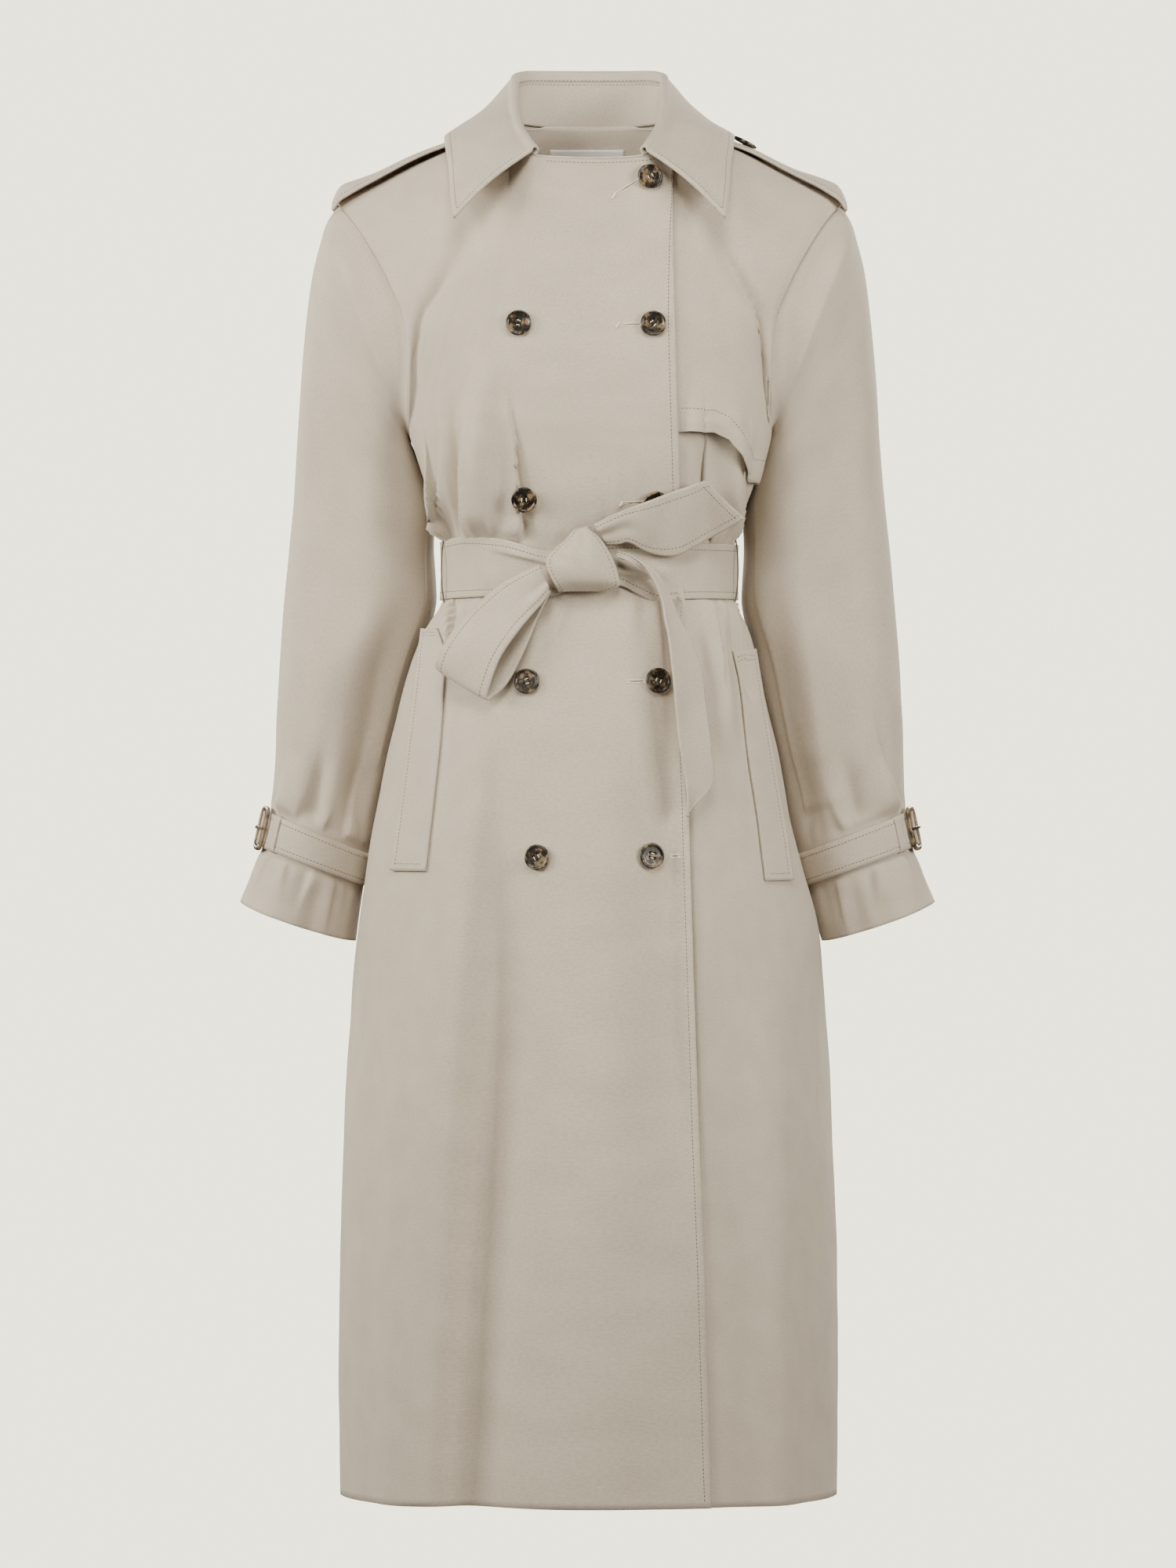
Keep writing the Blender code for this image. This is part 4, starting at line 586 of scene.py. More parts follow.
def column_of(x, z):
    """The column s whose surface lies at x, at the height z."""
    rise = (z - ARMPIT_Z) / (SHOULDER_TIP[1] - ARMPIT_Z)
    width = np.where(z > ARMPIT_Z, read(SHOULDERS, "edge_x", rise), read(TORSO, "half_width", z))
    share = (x - read(TORSO, "shift", z)) / width
    turn = np.arcsin(np.clip(np.abs(share), 0, 0.995) ** (read(TORSO, "square", z) / 2))
    return np.sign(share) * turn * 2 / math.pi


def quarter_girth(side, z):
    """The way round the torso from its middle to a side seam."""
    return (read(TORSO, "half_width", z) + read(TORSO, side, z)) * math.pi / 4


def fold_height(side, s, z):
    """How far the folds lift the cloth off the torso's surface."""
    total = np.zeros(np.broadcast(s, z).shape)
    around = quarter_girth(side, z)
    for fold in FOLDS[side]:
        down = (fold.z_top - z) / (fold.z_top - fold.z_bottom)
        x = between(fold.x_top, fold.x_bottom, np.clip(down, 0, 1))
        off = (s - column_of(x, z)) * around / fold.width
        off = off / (1 + fold.lean * np.tanh(off * 3))
        start = between(fold.top, 1, ease(down / 0.5))
        stop = between(fold.bottom, 1, ease((1 - down) / 0.35))
        inside = ease((down + 0.1) / 0.1) * ease((1.1 - down) / 0.1)
        if fold.z_bottom <= HEM_Z:
            inside = ease((down + 0.1) / 0.1)
        total = total + fold.depth * np.minimum(start, stop) * inside * np.exp(-off * off)
    held = ease((np.abs(z - BELT_MIDDLE_Z) - 0.027) / 0.026)
    return total * (0.12 + 0.88 * held)


def grid_normals(points, side):
    """The normals of a panel's grid as its facets have them, outwards."""
    face = unit(np.cross(points[:-1, 1:] - points[1:, :-1], points[1:, 1:] - points[:-1, :-1]))
    total = np.zeros_like(points)
    total[:-1, :-1] += face
    total[:-1, 1:] += face
    total[1:, :-1] += face
    total[1:, 1:] += face
    total = unit(total)
    middle = total[total.shape[0] // 2, total.shape[1] // 2]
    return total * (-1 if (middle[1] > 0) == (side == "front") else 1)


def front_edge_column(t):
    """The column along which the right front's edge runs."""
    s = np.linspace(0, 0.9, 240)
    t = np.asarray(t, float)
    base = torso_base("front", s[None, :], t.reshape(-1, 1))
    off = base[..., 0] - np.interp(base[..., 2], *zip(*FRONT_EDGE_X))
    found = [np.interp(0, row, s) for row in off]
    return np.array(found).reshape(t.shape)


def height(z):
    """The t of a height below the armpit."""
    return (z - ARMPIT_Z) / (ARMPIT_Z - HEM_Z)


def find(side, x, z):
    """The s and t at which the torso's surface lies at x, z, by Newton's method."""
    x, z = np.broadcast_arrays(np.asarray(x, float), np.asarray(z, float))
    s = column_of(x, z)
    t = np.where(z < ARMPIT_Z, height(z), (z - ARMPIT_Z) / (SHOULDER_TIP[1] + 0.03 - ARMPIT_Z))
    step = 1e-4
    for _ in range(12):
        here = torso_base(side, s, t)
        by_s = (torso_base(side, s + step, t) - here) / step
        by_t = (torso_base(side, s, np.minimum(t + step, 0.99999)) - here) / step
        off_x, off_z = x - here[..., 0], z - here[..., 2]
        det = by_s[..., 0] * by_t[..., 2] - by_s[..., 2] * by_t[..., 0]
        det = np.where(np.abs(det) < 1e-9, 1e-9, det)
        s = s + np.clip((off_x * by_t[..., 2] - off_z * by_t[..., 0]) / det, -0.2, 0.2)
        t = t + np.clip((off_z * by_s[..., 0] - off_x * by_s[..., 2]) / det, -0.2, 0.2)
        s, t = np.clip(s, -0.999, 0.999), np.clip(t, -1, 0.999)
    return s, t


# ---- the panels
def from_hem_up():
    """The heights of the panels' rows, as t, closer together where they turn over the shoulder."""
    lower = np.linspace(-1, 0, PANEL_ROWS_BELOW, endpoint=False)
    upper = (1 - np.cos(np.linspace(0, math.pi, PANEL_ROWS_ABOVE + 1))) / 2
    return np.concatenate([lower, upper])


ROWS = from_hem_up()
EDGE_COLUMN = front_edge_column(ROWS)
TOP_EDGE = float(EDGE_COLUMN[-1])
RIGHT_NECK_CUT = (1 - NECK_AT) / (1 + TOP_EDGE)
RIGHT_CUTS = np.concatenate([np.linspace(0, 0.5, 151)[:-1], np.linspace(0.5, 1, 61)])
UNDERLAP_CUTS = np.linspace(UNDERLAP_CUT, 1, UNDERLAP_COLUMNS, endpoint=False)
LEFT_CUTS = np.concatenate([UNDERLAP_CUTS, np.linspace(1, 2, LEFT_COLUMNS + 1)])
BACK_CUTS = np.linspace(-1, 1, BACK_COLUMNS + 1)


def pleat_shape(off, sharp, broad, reach):
    """A rise over the broad side, a step down at off = 0 and a hollow that runs out beyond it."""
    rise = np.exp(1 - np.sqrt(1 + (np.minimum(off, 0) / broad) ** 2 * 2.2))
    beyond = np.maximum(off, 0)
    step = np.exp(-((beyond / sharp) ** 1.5))
    fall = (1 + PLEAT_VALLEY) * step - PLEAT_VALLEY * np.exp(-beyond / reach)
    return np.where(off > 0, fall, rise)


def pleat_height(side, s, z):
    """How far the sharp pleats lift the cloth, and how far their crests lean over their hollows."""
    total = lean = np.zeros(np.broadcast(s, z).shape)
    around = quarter_girth(side, z)
    depth_share = bpy.context.scene.trench_sizes.pleat_depth
    for pleat in PLEATS[side]:
        down = (pleat.z_top - z) / (pleat.z_top - pleat.z_bottom)
        x = between(pleat.x_top, pleat.x_bottom, np.clip(down, -0.3, 1.3))
        off = (s - column_of(x, z)) * around * np.sign(pleat.sharp)
        shape = pleat_shape(off, abs(pleat.sharp), pleat.broad, PLEAT_REACH)
        start = between(pleat.top, 1, ease(down / 0.7))
        stop = between(pleat.bottom, 1, ease((1 - down) / 0.7))
        inside = ease((down + 0.08) / 0.08) * ease((1.3 - down) / 0.2)
        if pleat.bottom == 0:
            inside = ease((down + 0.3) / 0.2) * ease((1.05 - down) / 0.1)
        depth = pleat.depth * depth_share * np.minimum(start, stop) * inside
        total = total + depth * shape
        near = np.exp(-((off / np.where(off > 0, abs(pleat.sharp), PLEAT_CREST)) ** 2))
        lean = lean + PLEAT_LEAN * depth * near * np.sign(pleat.sharp)
    return total, lean


def unevenness(u, v, seed):
    """A slow, uneven rise and fall of cloth that hangs, in metres, at places given in metres."""
    one = np.sin(u * 41 + seed + 1.7 * np.sin(v * 17 + seed * 2)) * np.sin(v * 23 + seed * 3)
    two = np.sin(u * 83 + seed * 5 + 1.3 * np.sin(v * 39 + seed)) * np.sin(v * 31 - seed)
    return one * 0.0007 + two * 0.00035


def cloth_lift(side, s, z):
    """The folds, pleats and unevenness of a panel, held flat under the belt."""
    around = quarter_girth(side, z)
    u = s * around
    edge = np.abs(z - BELT_MIDDLE_Z) - 0.0265
    held = ease(edge / 0.012)
    close = np.exp(-np.clip(edge, 0, None) / GATHER_REACH)
    ripple = np.sin(u * 420 + 3 * np.sin(u * 57)) * (0.6 + 0.4 * np.sin(u * 91 + z * 20))
    gather = GATHER_DEPTH * close * ripple
    pleats, lean = pleat_height(side, s, z)
    small = pleats + gather + unevenness(u, z, 1.0 if side == "front" else 4.0)
    free = 0.06 + 0.94 * ease(edge / 0.006)
    across = np.abs(np.sin(s * math.pi / 2)) * read(TORSO, "half_width", z)
    more = DRAPE_MORE * held * ease((DRAPE_WITHIN - across) / 0.05)
    return fold_height(side, s, z) * (1 + more) + small * free, lean * free


Panel = namedtuple("Panel", "side points normal cuts")


def soften_chest(points, s):
    """Smooths the turn of the surface at the armpit's height, away from the armholes."""
    share = np.exp(-(((points[..., 2] - ARMPIT_Z) / 0.03) ** 2)) * ease((1 - np.abs(s)) / 0.12)
    for _ in range(40):
        middle = (points[:-2] + points[2:]) / 2 - points[1:-1]
        points[1:-1] += middle * (share[1:-1] * 0.5)[..., None]
    return points


def panel_grid(side, s, t, out, cuts):
    """A panel's cloth on the torso, `out` above it, with all that lifts it."""
    s = np.clip(s, -1 + SIDE_INSET, 1 - SIDE_INSET)
    base = soften_chest(torso_base(side, s, t), s)
    normal = grid_normals(base, side)
    lift, lean = cloth_lift(side, s, base[..., 2])
    along = unit(np.gradient(base, axis=1))
    points = base + normal * (lift + out)[..., None] + along * lean[..., None]
    points[-1, :, 1] += (-1 if side == "front" else 1) * SHOULDER_GAP
    return Panel(side, points, grid_normals(points, side), cuts)


def front_column(cut, t):
    """The column of a cut: 0 is the right side seam, 1 the right front's edge and 2 the left
    side seam."""
    edge = np.interp(t, ROWS, EDGE_COLUMN)
    return np.where(cut <= 1, -1 + (edge + 1) * cut, edge + (1 - edge) * (cut - 1))


def make_right_front():
    cut, t = np.meshgrid(RIGHT_CUTS, ROWS)
    lift = EDGE_LIFT * np.exp(-(((1 - cut) / EDGE_LIFT_WIDTH) ** 2))
    lift = lift * (1 - ease(np.clip((t - 0.85) / 0.15, 0, 1)))
    return panel_grid("front", front_column(cut, t), t, lift, RIGHT_CUTS)


def make_left_front():
    """The left front, which sinks by a layer where it runs under the right one."""
    cut, t = np.meshgrid(LEFT_CUTS, ROWS)
    width = 0.6 - 0.5 * np.clip(t, 0, 1) ** 4
    sink = (CLOTH + LAYER_GAP) * (1 - ease((cut - 1) / width))
    return panel_grid("front", front_column(cut, t), t, -sink, LEFT_CUTS)


def make_back():
    s, t = np.meshgrid(BACK_CUTS, ROWS)
    return panel_grid("back", s, t, 0.0, BACK_CUTS)


def on_panel(panel, cut, t, out):
    """Points `out` above a panel at its cuts and heights, and the normals there."""
    cut, t = np.broadcast_arrays(np.asarray(cut, float), np.asarray(t, float))
    column = np.interp(cut, panel.cuts, np.arange(len(panel.cuts)))
    row = np.interp(t, ROWS, np.arange(len(ROWS)))
    j = np.clip(column.astype(int), 0, len(panel.cuts) - 2)
    i = np.clip(row.astype(int), 0, len(ROWS) - 2)
    across, up = (column - j)[..., None], (row - i)[..., None]
    found = []
    for grid in (panel.points, panel.normal):
        low = grid[i, j] * (1 - across) + grid[i, j + 1] * across
        high = grid[i + 1, j] * (1 - across) + grid[i + 1, j + 1] * across
        found.append(low * (1 - up) + high * up)
    return found[0] + found[1] * np.asarray(out)[..., None], found[1]


def on_right_front(x, z, out):
    """A place on the right front, by its x and z."""
    s, t = find("front", x, z)
    edge = np.interp(t, ROWS, EDGE_COLUMN)
    return on_panel(RIGHT_FRONT, (s + 1) / (edge + 1), t, out)


# ---- finishes
def new_group(name, inputs, outputs):
    group = bpy.data.node_groups.new(name, "ShaderNodeTree")
    for label, kind, value in inputs:
        socket = group.interface.new_socket(name=label, in_out="INPUT", socket_type=kind)
        if value is not None:
            socket.default_value = value
    for label, kind in outputs:
        group.interface.new_socket(name=label, in_out="OUTPUT", socket_type=kind)
    enter, leave = group.nodes.new("NodeGroupInput"), group.nodes.new("NodeGroupOutput")
    return group, enter.outputs, leave.inputs


def math_node(tree, operation, *values):
    node = tree.nodes.new("ShaderNodeMath")
    node.operation = operation
    for socket, value in zip(node.inputs, values):
        if isinstance(value, (int, float)):
            socket.default_value = value
        else:
            tree.links.new(value, socket)
    return node.outputs[0]


def noise_node(tree, vector, scale, detail=2.0, roughness=0.5):
    node = tree.nodes.new("ShaderNodeTexNoise")
    set_inputs(node, Scale=scale, Detail=detail, Roughness=roughness)
    tree.links.new(vector, node.inputs["Vector"])
    return node.outputs["Fac"]


def set_inputs(node, **values):
    """Gives sockets their values. An underscore in a name stands for a space."""
    for name, value in values.items():
        node.inputs[name.replace("_", " ")].default_value = value


def twill_group():
    """Diagonal ribs of a fine twill with uneven yarn. Height is for a bump, and Shade darkens or
    lightens the yarn a little."""
    found = bpy.data.node_groups.get("twill weave")
    if found:
        return found
    group, enter, leave = new_group(
        "twill weave",
        [("Vector", "NodeSocketVector", None), ("Rib", "NodeSocketFloat", 0.0006)],
        [("Height", "NodeSocketFloat"), ("Shade", "NodeSocketFloat")],
    )
    split = group.nodes.new("ShaderNodeSeparateXYZ")
    group.links.new(enter["Vector"], split.inputs[0])
    u, v = split.outputs[0], split.outputs[1]
    turn = math_node(group, "DIVIDE", 2 * math.pi, enter["Rib"])
    diagonal = math_node(group, "ADD", math_node(group, "MULTIPLY", u, 0.55), v)
    ribs = math_node(group, "SINE", math_node(group, "MULTIPLY", diagonal, turn))
    across = math_node(group, "MULTIPLY", math_node(group, "MULTIPLY", u, turn), 1.45)
    weft = math_node(group, "SINE", across)
    slub = noise_node(group, enter["Vector"], 520.0, 3.0, 0.65)
    broad = noise_node(group, enter["Vector"], 34.0, 3.0)
    height = math_node(group, "MULTIPLY_ADD", weft, 0.35, ribs)
    height = math_node(group, "MULTIPLY_ADD", slub, 1.6, height)
    group.links.new(height, leave["Height"])
    shade = math_node(group, "MULTIPLY_ADD", slub, 0.7, math_node(group, "MULTIPLY", broad, 0.3))
    group.links.new(shade, leave["Shade"])
    return group


def new_material(name, roughness):
    made = bpy.data.materials.new(name)
    made.use_nodes = True
    shader = made.node_tree.nodes["Principled BSDF"]
    set_inputs(shader, Roughness=roughness)
    return made, made.node_tree, shader


def colour_by(tree, shader, factor, stops):
    """Colours a shader by a factor, with the colours at the stops."""
    node = tree.nodes.new("ShaderNodeValToRGB")
    ends = node.color_ramp.elements
    for end, (place, colour) in ((ends[0], stops[0]), (ends[1], stops[-1])):
        end.position = place
        end.color = (*colour, 1)
    for place, colour in stops[1:-1]:
        ends.new(place).color = (*colour, 1)
    tree.links.new(factor, node.inputs["Fac"])
    tree.links.new(node.outputs["Color"], shader.inputs["Base Color"])


def roughen(tree, shader, factor, more, least):
    """Makes a shader rougher by a factor."""
    rough = math_node(tree, "MULTIPLY_ADD", factor, more, least)
    tree.links.new(rough, shader.inputs["Roughness"])


def emboss(tree, shader, height, strength, depth):
    """Gives a shader a bump of so much depth."""
    bump = tree.nodes.new("ShaderNodeBump")
    set_inputs(bump, Strength=strength, Distance=depth)
    tree.links.new(height, bump.inputs["Height"])
    tree.links.new(bump.outputs["Normal"], shader.inputs["Normal"])


def scaled(colour, share):
    return tuple(channel * share for channel in colour)


def cloth_material(name, colour, roughness=0.88, rib=0.0009, depth=0.00012, spread=0.16):
    """Woven cloth whose twill follows the piece's own map, in metres."""
    made, tree, shader = new_material(name, roughness)
    lay = tree.nodes.new("ShaderNodeUVMap")
    lay.uv_map = "cloth"
    weave = tree.nodes.new("ShaderNodeGroup")
    weave.node_tree = twill_group()
    set_inputs(weave, Rib=rib)
    tree.links.new(lay.outputs["UV"], weave.inputs["Vector"])
    shade = weave.outputs["Shade"]
    pale, dark = scaled(colour, 1 + spread), scaled(colour, 1 - spread)
    colour_by(tree, shader, shade, [(0.3, dark), (0.5, tuple(colour)), (0.7, pale)])
    roughen(tree, shader, shade, 0.1, roughness - 0.05)
    emboss(tree, shader, weave.outputs["Height"], 0.35, depth)
    set_inputs(shader, Sheen_Weight=0.12, Sheen_Roughness=0.5, Specular_IOR_Level=0.25)
    return made


def horn_material(name, dark, tan, scale=170.0, share=0.6):
    """Polished horn, dark with blotches of tan that have uneven edges."""
    made, tree, shader = new_material(name, 0.26)
    place = tree.nodes.new("ShaderNodeTexCoord").outputs["Object"]
    blotch = noise_node(tree, place, scale, 3.0, 0.55)
    speck = noise_node(tree, place, scale * 5, 2.0, 0.6)
    mixed = math_node(tree, "MULTIPLY_ADD", speck, 0.22, math_node(tree, "MULTIPLY", blotch, 0.89))
    stops = [
        (share - 0.1, tuple(dark)),
        (share, scaled(tan, 0.3)),
        (share + 0.05, tuple(tan)),
        (share + 0.2, scaled(tan, 1.35)),
    ]
    colour_by(tree, shader, mixed, stops)
    roughen(tree, shader, speck, 0.12, 0.2)
    emboss(tree, shader, speck, 0.2, 0.0001)
    set_inputs(shader, Coat_Weight=0.08, Specular_IOR_Level=0.35)
    return made


def thread_material(name, colour):
    """Twisted sewing thread. The cut of each buttonhole uses it too, in a near-black that is
    painted shadow.
    """
    made, tree, shader = new_material(name, 0.7)
    place = tree.nodes.new("ShaderNodeTexCoord").outputs["Object"]
    fleck = noise_node(tree, place, 2400.0, 1.0)
    colour_by(tree, shader, fleck, [(0.3, scaled(colour, 0.92)), (0.7, scaled(colour, 1.08))])
    roughen(tree, shader, fleck, 0.2, 0.6)
    return made


def finish_of(name):
    """The material of a piece, made once from the colours in the sidebar."""
    full_name = FINISHES[name][0]
    found = bpy.data.materials.get(full_name)
    if found:
        return found
    colours = bpy.context.scene.trench_colours
    tan = colours.horn_tan
    if name in ("coat", "collar"):
        return cloth_material(full_name, colours.cloth)
    # The neck facing is the coat's own cloth made 1.3 times lighter: painted light against the
    # shade inside the back neck.
    if name == "facing":
        return cloth_material(full_name, scaled(colours.cloth, 1.3))
    # The belt is the coat's own cloth; its colour is a little darker as painted shade.
    if name == "belt":
        return cloth_material(full_name, colours.belt)
    if name == "label":
        return cloth_material(full_name, colours.label, 0.55, 0.0004, 0.00002, 0.02)
    if name == "horn":
        return horn_material(full_name, colours.horn_dark, tan)
    if name == "amber":
        return horn_material(full_name, scaled(tan, 0.15), scaled(tan, 1.2), 90, 0.5)
    # Near-black grains in the buttonholes: painted shadow of each cut.
    if name == "hole":
        return thread_material(full_name, scaled(colours.cloth, 0.1))
    if name == "pale thread":
        return thread_material(full_name, scaled(colours.cloth, 1.55))
    # Dark thread, whose darkness is painted shade of the needle holes and grooves.
    return thread_material(full_name, colours.thread)


FINISHES = {  # the name of each finish's material, and a slot name
    "coat": ("coat twill", "coat_cloth"),
    "collar": ("collar twill", "collar_cloth"),
    "facing": ("facing twill painted light", "collar_cloth"),
    "belt": ("belt twill with painted shade", "belt_cloth"),
    "label": ("label satin", "label_cloth"),
    "horn": ("mottled horn", "horn"),
    "amber": ("amber horn", "horn"),
    "hole": ("buttonhole slit painted shadow", None),
    "pale thread": ("pale thread", None),
    "thread": ("sewing thread with painted shade", None),
}


# ---- making pieces
def add_piece(name, mesh, finish, nodes=(), slot=None):
    """A finished piece that rides on the coat and stands for the named solids."""
    made = add_object(name, mesh)
    mesh.materials.append(finish_of(finish))
    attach(made, "root")
    if nodes:
        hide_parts(*nodes)
    slot = slot or FINISHES[finish][1]
    return made


def mesh_of(bm, name):
    """A smooth mesh from a bmesh, which is freed."""
    mesh = bpy.data.meshes.new(name)
    bm.to_mesh(mesh)
    bm.free()
    mesh.shade_smooth()
    return mesh


def grid_mesh(name, points, outside=None):
    """A grid of points as a mesh with a map in metres. A grid whose last column repeats its
    first becomes a tube. outside points out of the cloth at each point."""
    rows, columns = points.shape[:2]
    bm = bmesh.new()
    bm.loops.layers.uv.new("cloth")
    bmesh.ops.create_grid(bm, x_segments=columns - 1, y_segments=rows - 1, size=0.5, calc_uvs=True)
    mesh = mesh_of(bm, name)
    mesh.vertices.foreach_set("co", points.astype(np.float32).ravel())
    mesh.update()
    across, along = (lengths.mean() for lengths in cloth_lengths(points))
    lay = mesh.uv_layers["cloth"].data
    flat = np.empty(len(lay) * 2, np.float32)
    lay.foreach_get("uv", flat)
    lay.foreach_set("uv", (flat.reshape(-1, 2) * [across, along]).astype(np.float32).ravel())
    bm = bmesh.new()
    bm.from_mesh(mesh)
    bmesh.ops.remove_doubles(bm, verts=bm.verts, dist=1e-6)
    if outside is not None:
        normal = np.empty(len(mesh.polygons) * 3)
        mesh.polygons.foreach_get("normal", normal)
        facing = normal.reshape(rows - 1, columns - 1, 3) * outside[: rows - 1, : columns - 1]
        if facing.sum() < 0:
            bmesh.ops.reverse_faces(bm, faces=bm.faces)
    else:
        bmesh.ops.recalc_face_normals(bm, faces=bm.faces)
    bm.to_mesh(mesh)
    bm.free()
    mesh.shade_smooth()
    return mesh


def round_off(made):
    """Rounds a piece's coarse mesh."""
    soft = made.modifiers.new("round", "SUBSURF")
    soft.levels = soft.render_levels = 2


def cloth_lengths(points):
    """The lengths of a grid's rows and of its columns."""
    return (np.linalg.norm(np.diff(points, axis=k), axis=-1).sum(axis=k) for k in (1, 0))


def cloth_piece(
    name, points, outside, finish="coat", wall=CLOTH, nodes=None, slot=None
):
    """A piece of cloth with a wall, whose outer face is the grid."""
    nodes = (name,) if nodes is None else nodes
    made = add_piece(name + "_cloth", grid_mesh(name, points, outside), finish, nodes, slot)
    thick = made.modifiers.new("wall", "SOLIDIFY")
    thick.thickness = wall
    thick.offset = -1.0
    return made


def grid_outside(points, toward):
    """Normals of a grid of points, on the side that `toward` points to on the whole."""
    normal = unit(np.cross(np.gradient(points, axis=1), np.gradient(points, axis=0)))
    return normal if (normal * toward).sum() > 0 else -normal


def inset_line(points, normal, edge, distance, trim=0.0):
    """A line on a grid that runs inside one of its edges, with the normals along it."""
    turned = []
    for grid in (points, normal):
        if edge == "top":
            grid = grid[::-1]
        elif edge == "first":
            grid = grid.transpose(1, 0, 2)
        elif edge == "last":
            grid = grid[:, ::-1].transpose(1, 0, 2)
        turned.append(grid.transpose(1, 0, 2))
    places = [distances(column) for column in turned[0]]
    line, up = (
        np.array([along_line(distance, at, column) for at, column in zip(places, grid)])
        for grid in turned
    )
    return trimmed(line, up, trim, trim) if trim else (line, up)


def trimmed(line, up, first, last):
    """A line with so much cut off its two ends."""
    places = distances(line)
    at = np.linspace(first, places[-1] - last, max(int(places[-1] / 0.002), 4))
    return along_line(at, places, line), along_line(at, places, up)


def stitch(bm, middle, along, up, length, width, high):
    """One stitch, as a small long grain."""
    along, up = Vector(along).normalized(), Vector(up).normalized()
    across = up.cross(along).normalized()
    axes = (along * length / 2, across * width / 2, along.cross(across) * high / 2, middle)
    place = Matrix([[axis[k] for axis in axes] for k in range(3)] + [[0, 0, 0, 1]])
    bmesh.ops.create_icosphere(bm, subdivisions=1, radius=1.0, matrix=place)


def stitches(name, lines, finish="thread", slot="coat_cloth"):
    """Rows of topstitching along lines on the cloth, as one piece."""
    bm = bmesh.new()
    for line, up in lines:
        places = distances(line)
        count = int(places[-1] / STITCH_PITCH)
        at = (np.arange(count) + 0.5) * places[-1] / max(count, 1)
        run = along_line(at + 0.001, places, line) - along_line(at - 0.001, places, line)
        facing = along_line(at, places, up)
        middle = along_line(at, places, line) + facing * 0.00004
        for k in range(count):
            stitch(bm, middle[k], run[k], facing[k], STITCH_LENGTH, STITCH_WIDTH, 0.0004)
    return add_piece(name, mesh_of(bm, name), finish, (), slot)


def thread_tube(name, paths, radius, finish="pale thread", slot="coat_cloth"):
    """Loose threads or thread loops along paths, as one piece."""
    bm = bmesh.new()
    turn = np.linspace(0, 2 * math.pi, 8)[:, None]
    for path in paths:
        path = np.asarray(path, float)
        along = unit(np.gradient(path, axis=0))
        across = unit(np.cross(along, [0.31, 0.52, 0.79]))  # any direction that no thread runs in
        third = np.cross(along, across)
        ring = across[:, None] * np.cos(turn) + third[:, None] * np.sin(turn)
        thin = np.ones(len(path))
        thin[0] = thin[-1] = 0.05
        part = grid_mesh("thread", path[:, None] + ring * (radius * thin)[:, None, None])
        bm.from_mesh(part)
        bpy.data.meshes.remove(part)
    return add_piece(name, mesh_of(bm, name), finish, (), slot)


# ---- front, back and flap
def make_panels():
    for name, panel in (("front_right", RIGHT_FRONT), ("front_left", LEFT_FRONT), ("back", BACK)):
        cloth_piece(name, panel.points, panel.normal, "coat")
    front = RIGHT_FRONT
    edge = inset_line(front.points, front.normal, "last", EDGE_STITCH, 0.006)
    top = front.cuts > RIGHT_NECK_CUT + 0.16
    throat = inset_line(front.points[:, top], front.normal[:, top], "top", 0.0045)
    stitches("stitching_fronts", [edge, trimmed(*throat, 0.002, 0.006)])


def make_storm_flap():
    """A second layer over the left front, from the shoulder to a curved edge at the armpit."""
    cuts = LEFT_FRONT.cuts[LEFT_FRONT.cuts >= 1]
    out = 0.0004 + (CLOTH + 0.0005) * ease((2 - cuts[None, :]) / 0.07) + 0 * ROWS[:, None]
    points, normal = on_panel(LEFT_FRONT, cuts[None, :], ROWS[:, None], out)
    above = ROWS > 0.02
    steps = 16
    grid = np.empty((steps + above.sum(), len(cuts), 3))
    for k in range(len(cuts)):
        line, up = points[:, k], normal[:, k]
        stop_x = np.interp(-0.285, line[:, 2], line[:, 0])
        stop = np.interp(stop_x, [edge.x for edge in FLAP_BOTTOM], [edge.z for edge in FLAP_BOTTOM])
        heights = between(stop, line[above][0, 2], np.linspace(0, 1, steps, endpoint=False))
        grid[:steps, k] = along_line(heights, line[:, 2], line)
        grid[steps:, k] = line[above]
        flare = FLAP_FLARE * np.exp(-(((grid[:, k, 2] - stop) / 0.03) ** 2))
        flare = flare * ease(k / 14) * ease((len(cuts) - 1 - k) / 16)
        grid[:, k, 1] -= flare
        grid[:, k] += (up[above][0] * [1, 0, 0]) * flare[:, None] * 0.5
    grid[-1] += (grid[-2] - grid[-1]) * FLAP_SHOULDER_SHARE
    outside = grid_outside(grid, np.array([0, -1, 0]))
    cloth_piece("storm_flap", grid, outside, "coat")
    hem = inset_line(grid, outside, "bottom", FLAP_STITCH)
    stitches("stitching_flap", [trimmed(*hem, 0.004, 0.004)])


# ---- sleeves and straps
def armhole(side):
    """The armhole's edge as a closed loop, from the shoulder by the front and the armpit to the
    back, and the direction in which the panels run out at it."""
    upper = ROWS >= 0
    front = RIGHT_FRONT.points if side == "right" else LEFT_FRONT.points
    edge, before = (0, 6) if side == "right" else (-1, -7)
    loops = [
        np.vstack([front[upper, column][::-1], BACK.points[upper, column][1:]])
        for column in (edge, before)
    ]
    run = unit(loops[0] - loops[1])
    run[PANEL_ROWS_ABOVE] = [run[PANEL_ROWS_ABOVE][0], 0, -1]
    return loops[0], unit(run)


def crease_height(side, ring, angle):
    """How far the creases lift a sleeve's cloth."""
    total = np.zeros(ring.shape)
    for crease in CREASES[side] + CREASES["both"]:
        down = (ring - crease.ring_top) / (crease.ring_bottom - crease.ring_top)
        at = between(crease.angle_top, crease.angle_bottom, down)
        off = ((angle - at + 180) % 360 - 180) * np.sign(crease.sharp)
        shape = pleat_shape(off, abs(crease.sharp), crease.broad, CREASE_REACH)
        if crease.ring_top >= STRAP_TO:
            inside = ease((1.05 - down) / 0.9) * ease((down + 0.02) / 0.02)
        else:
            inside = ease(down / 0.8) * ease((1.02 - down) / 0.02)
        total += crease.depth * inside * shape
    return total


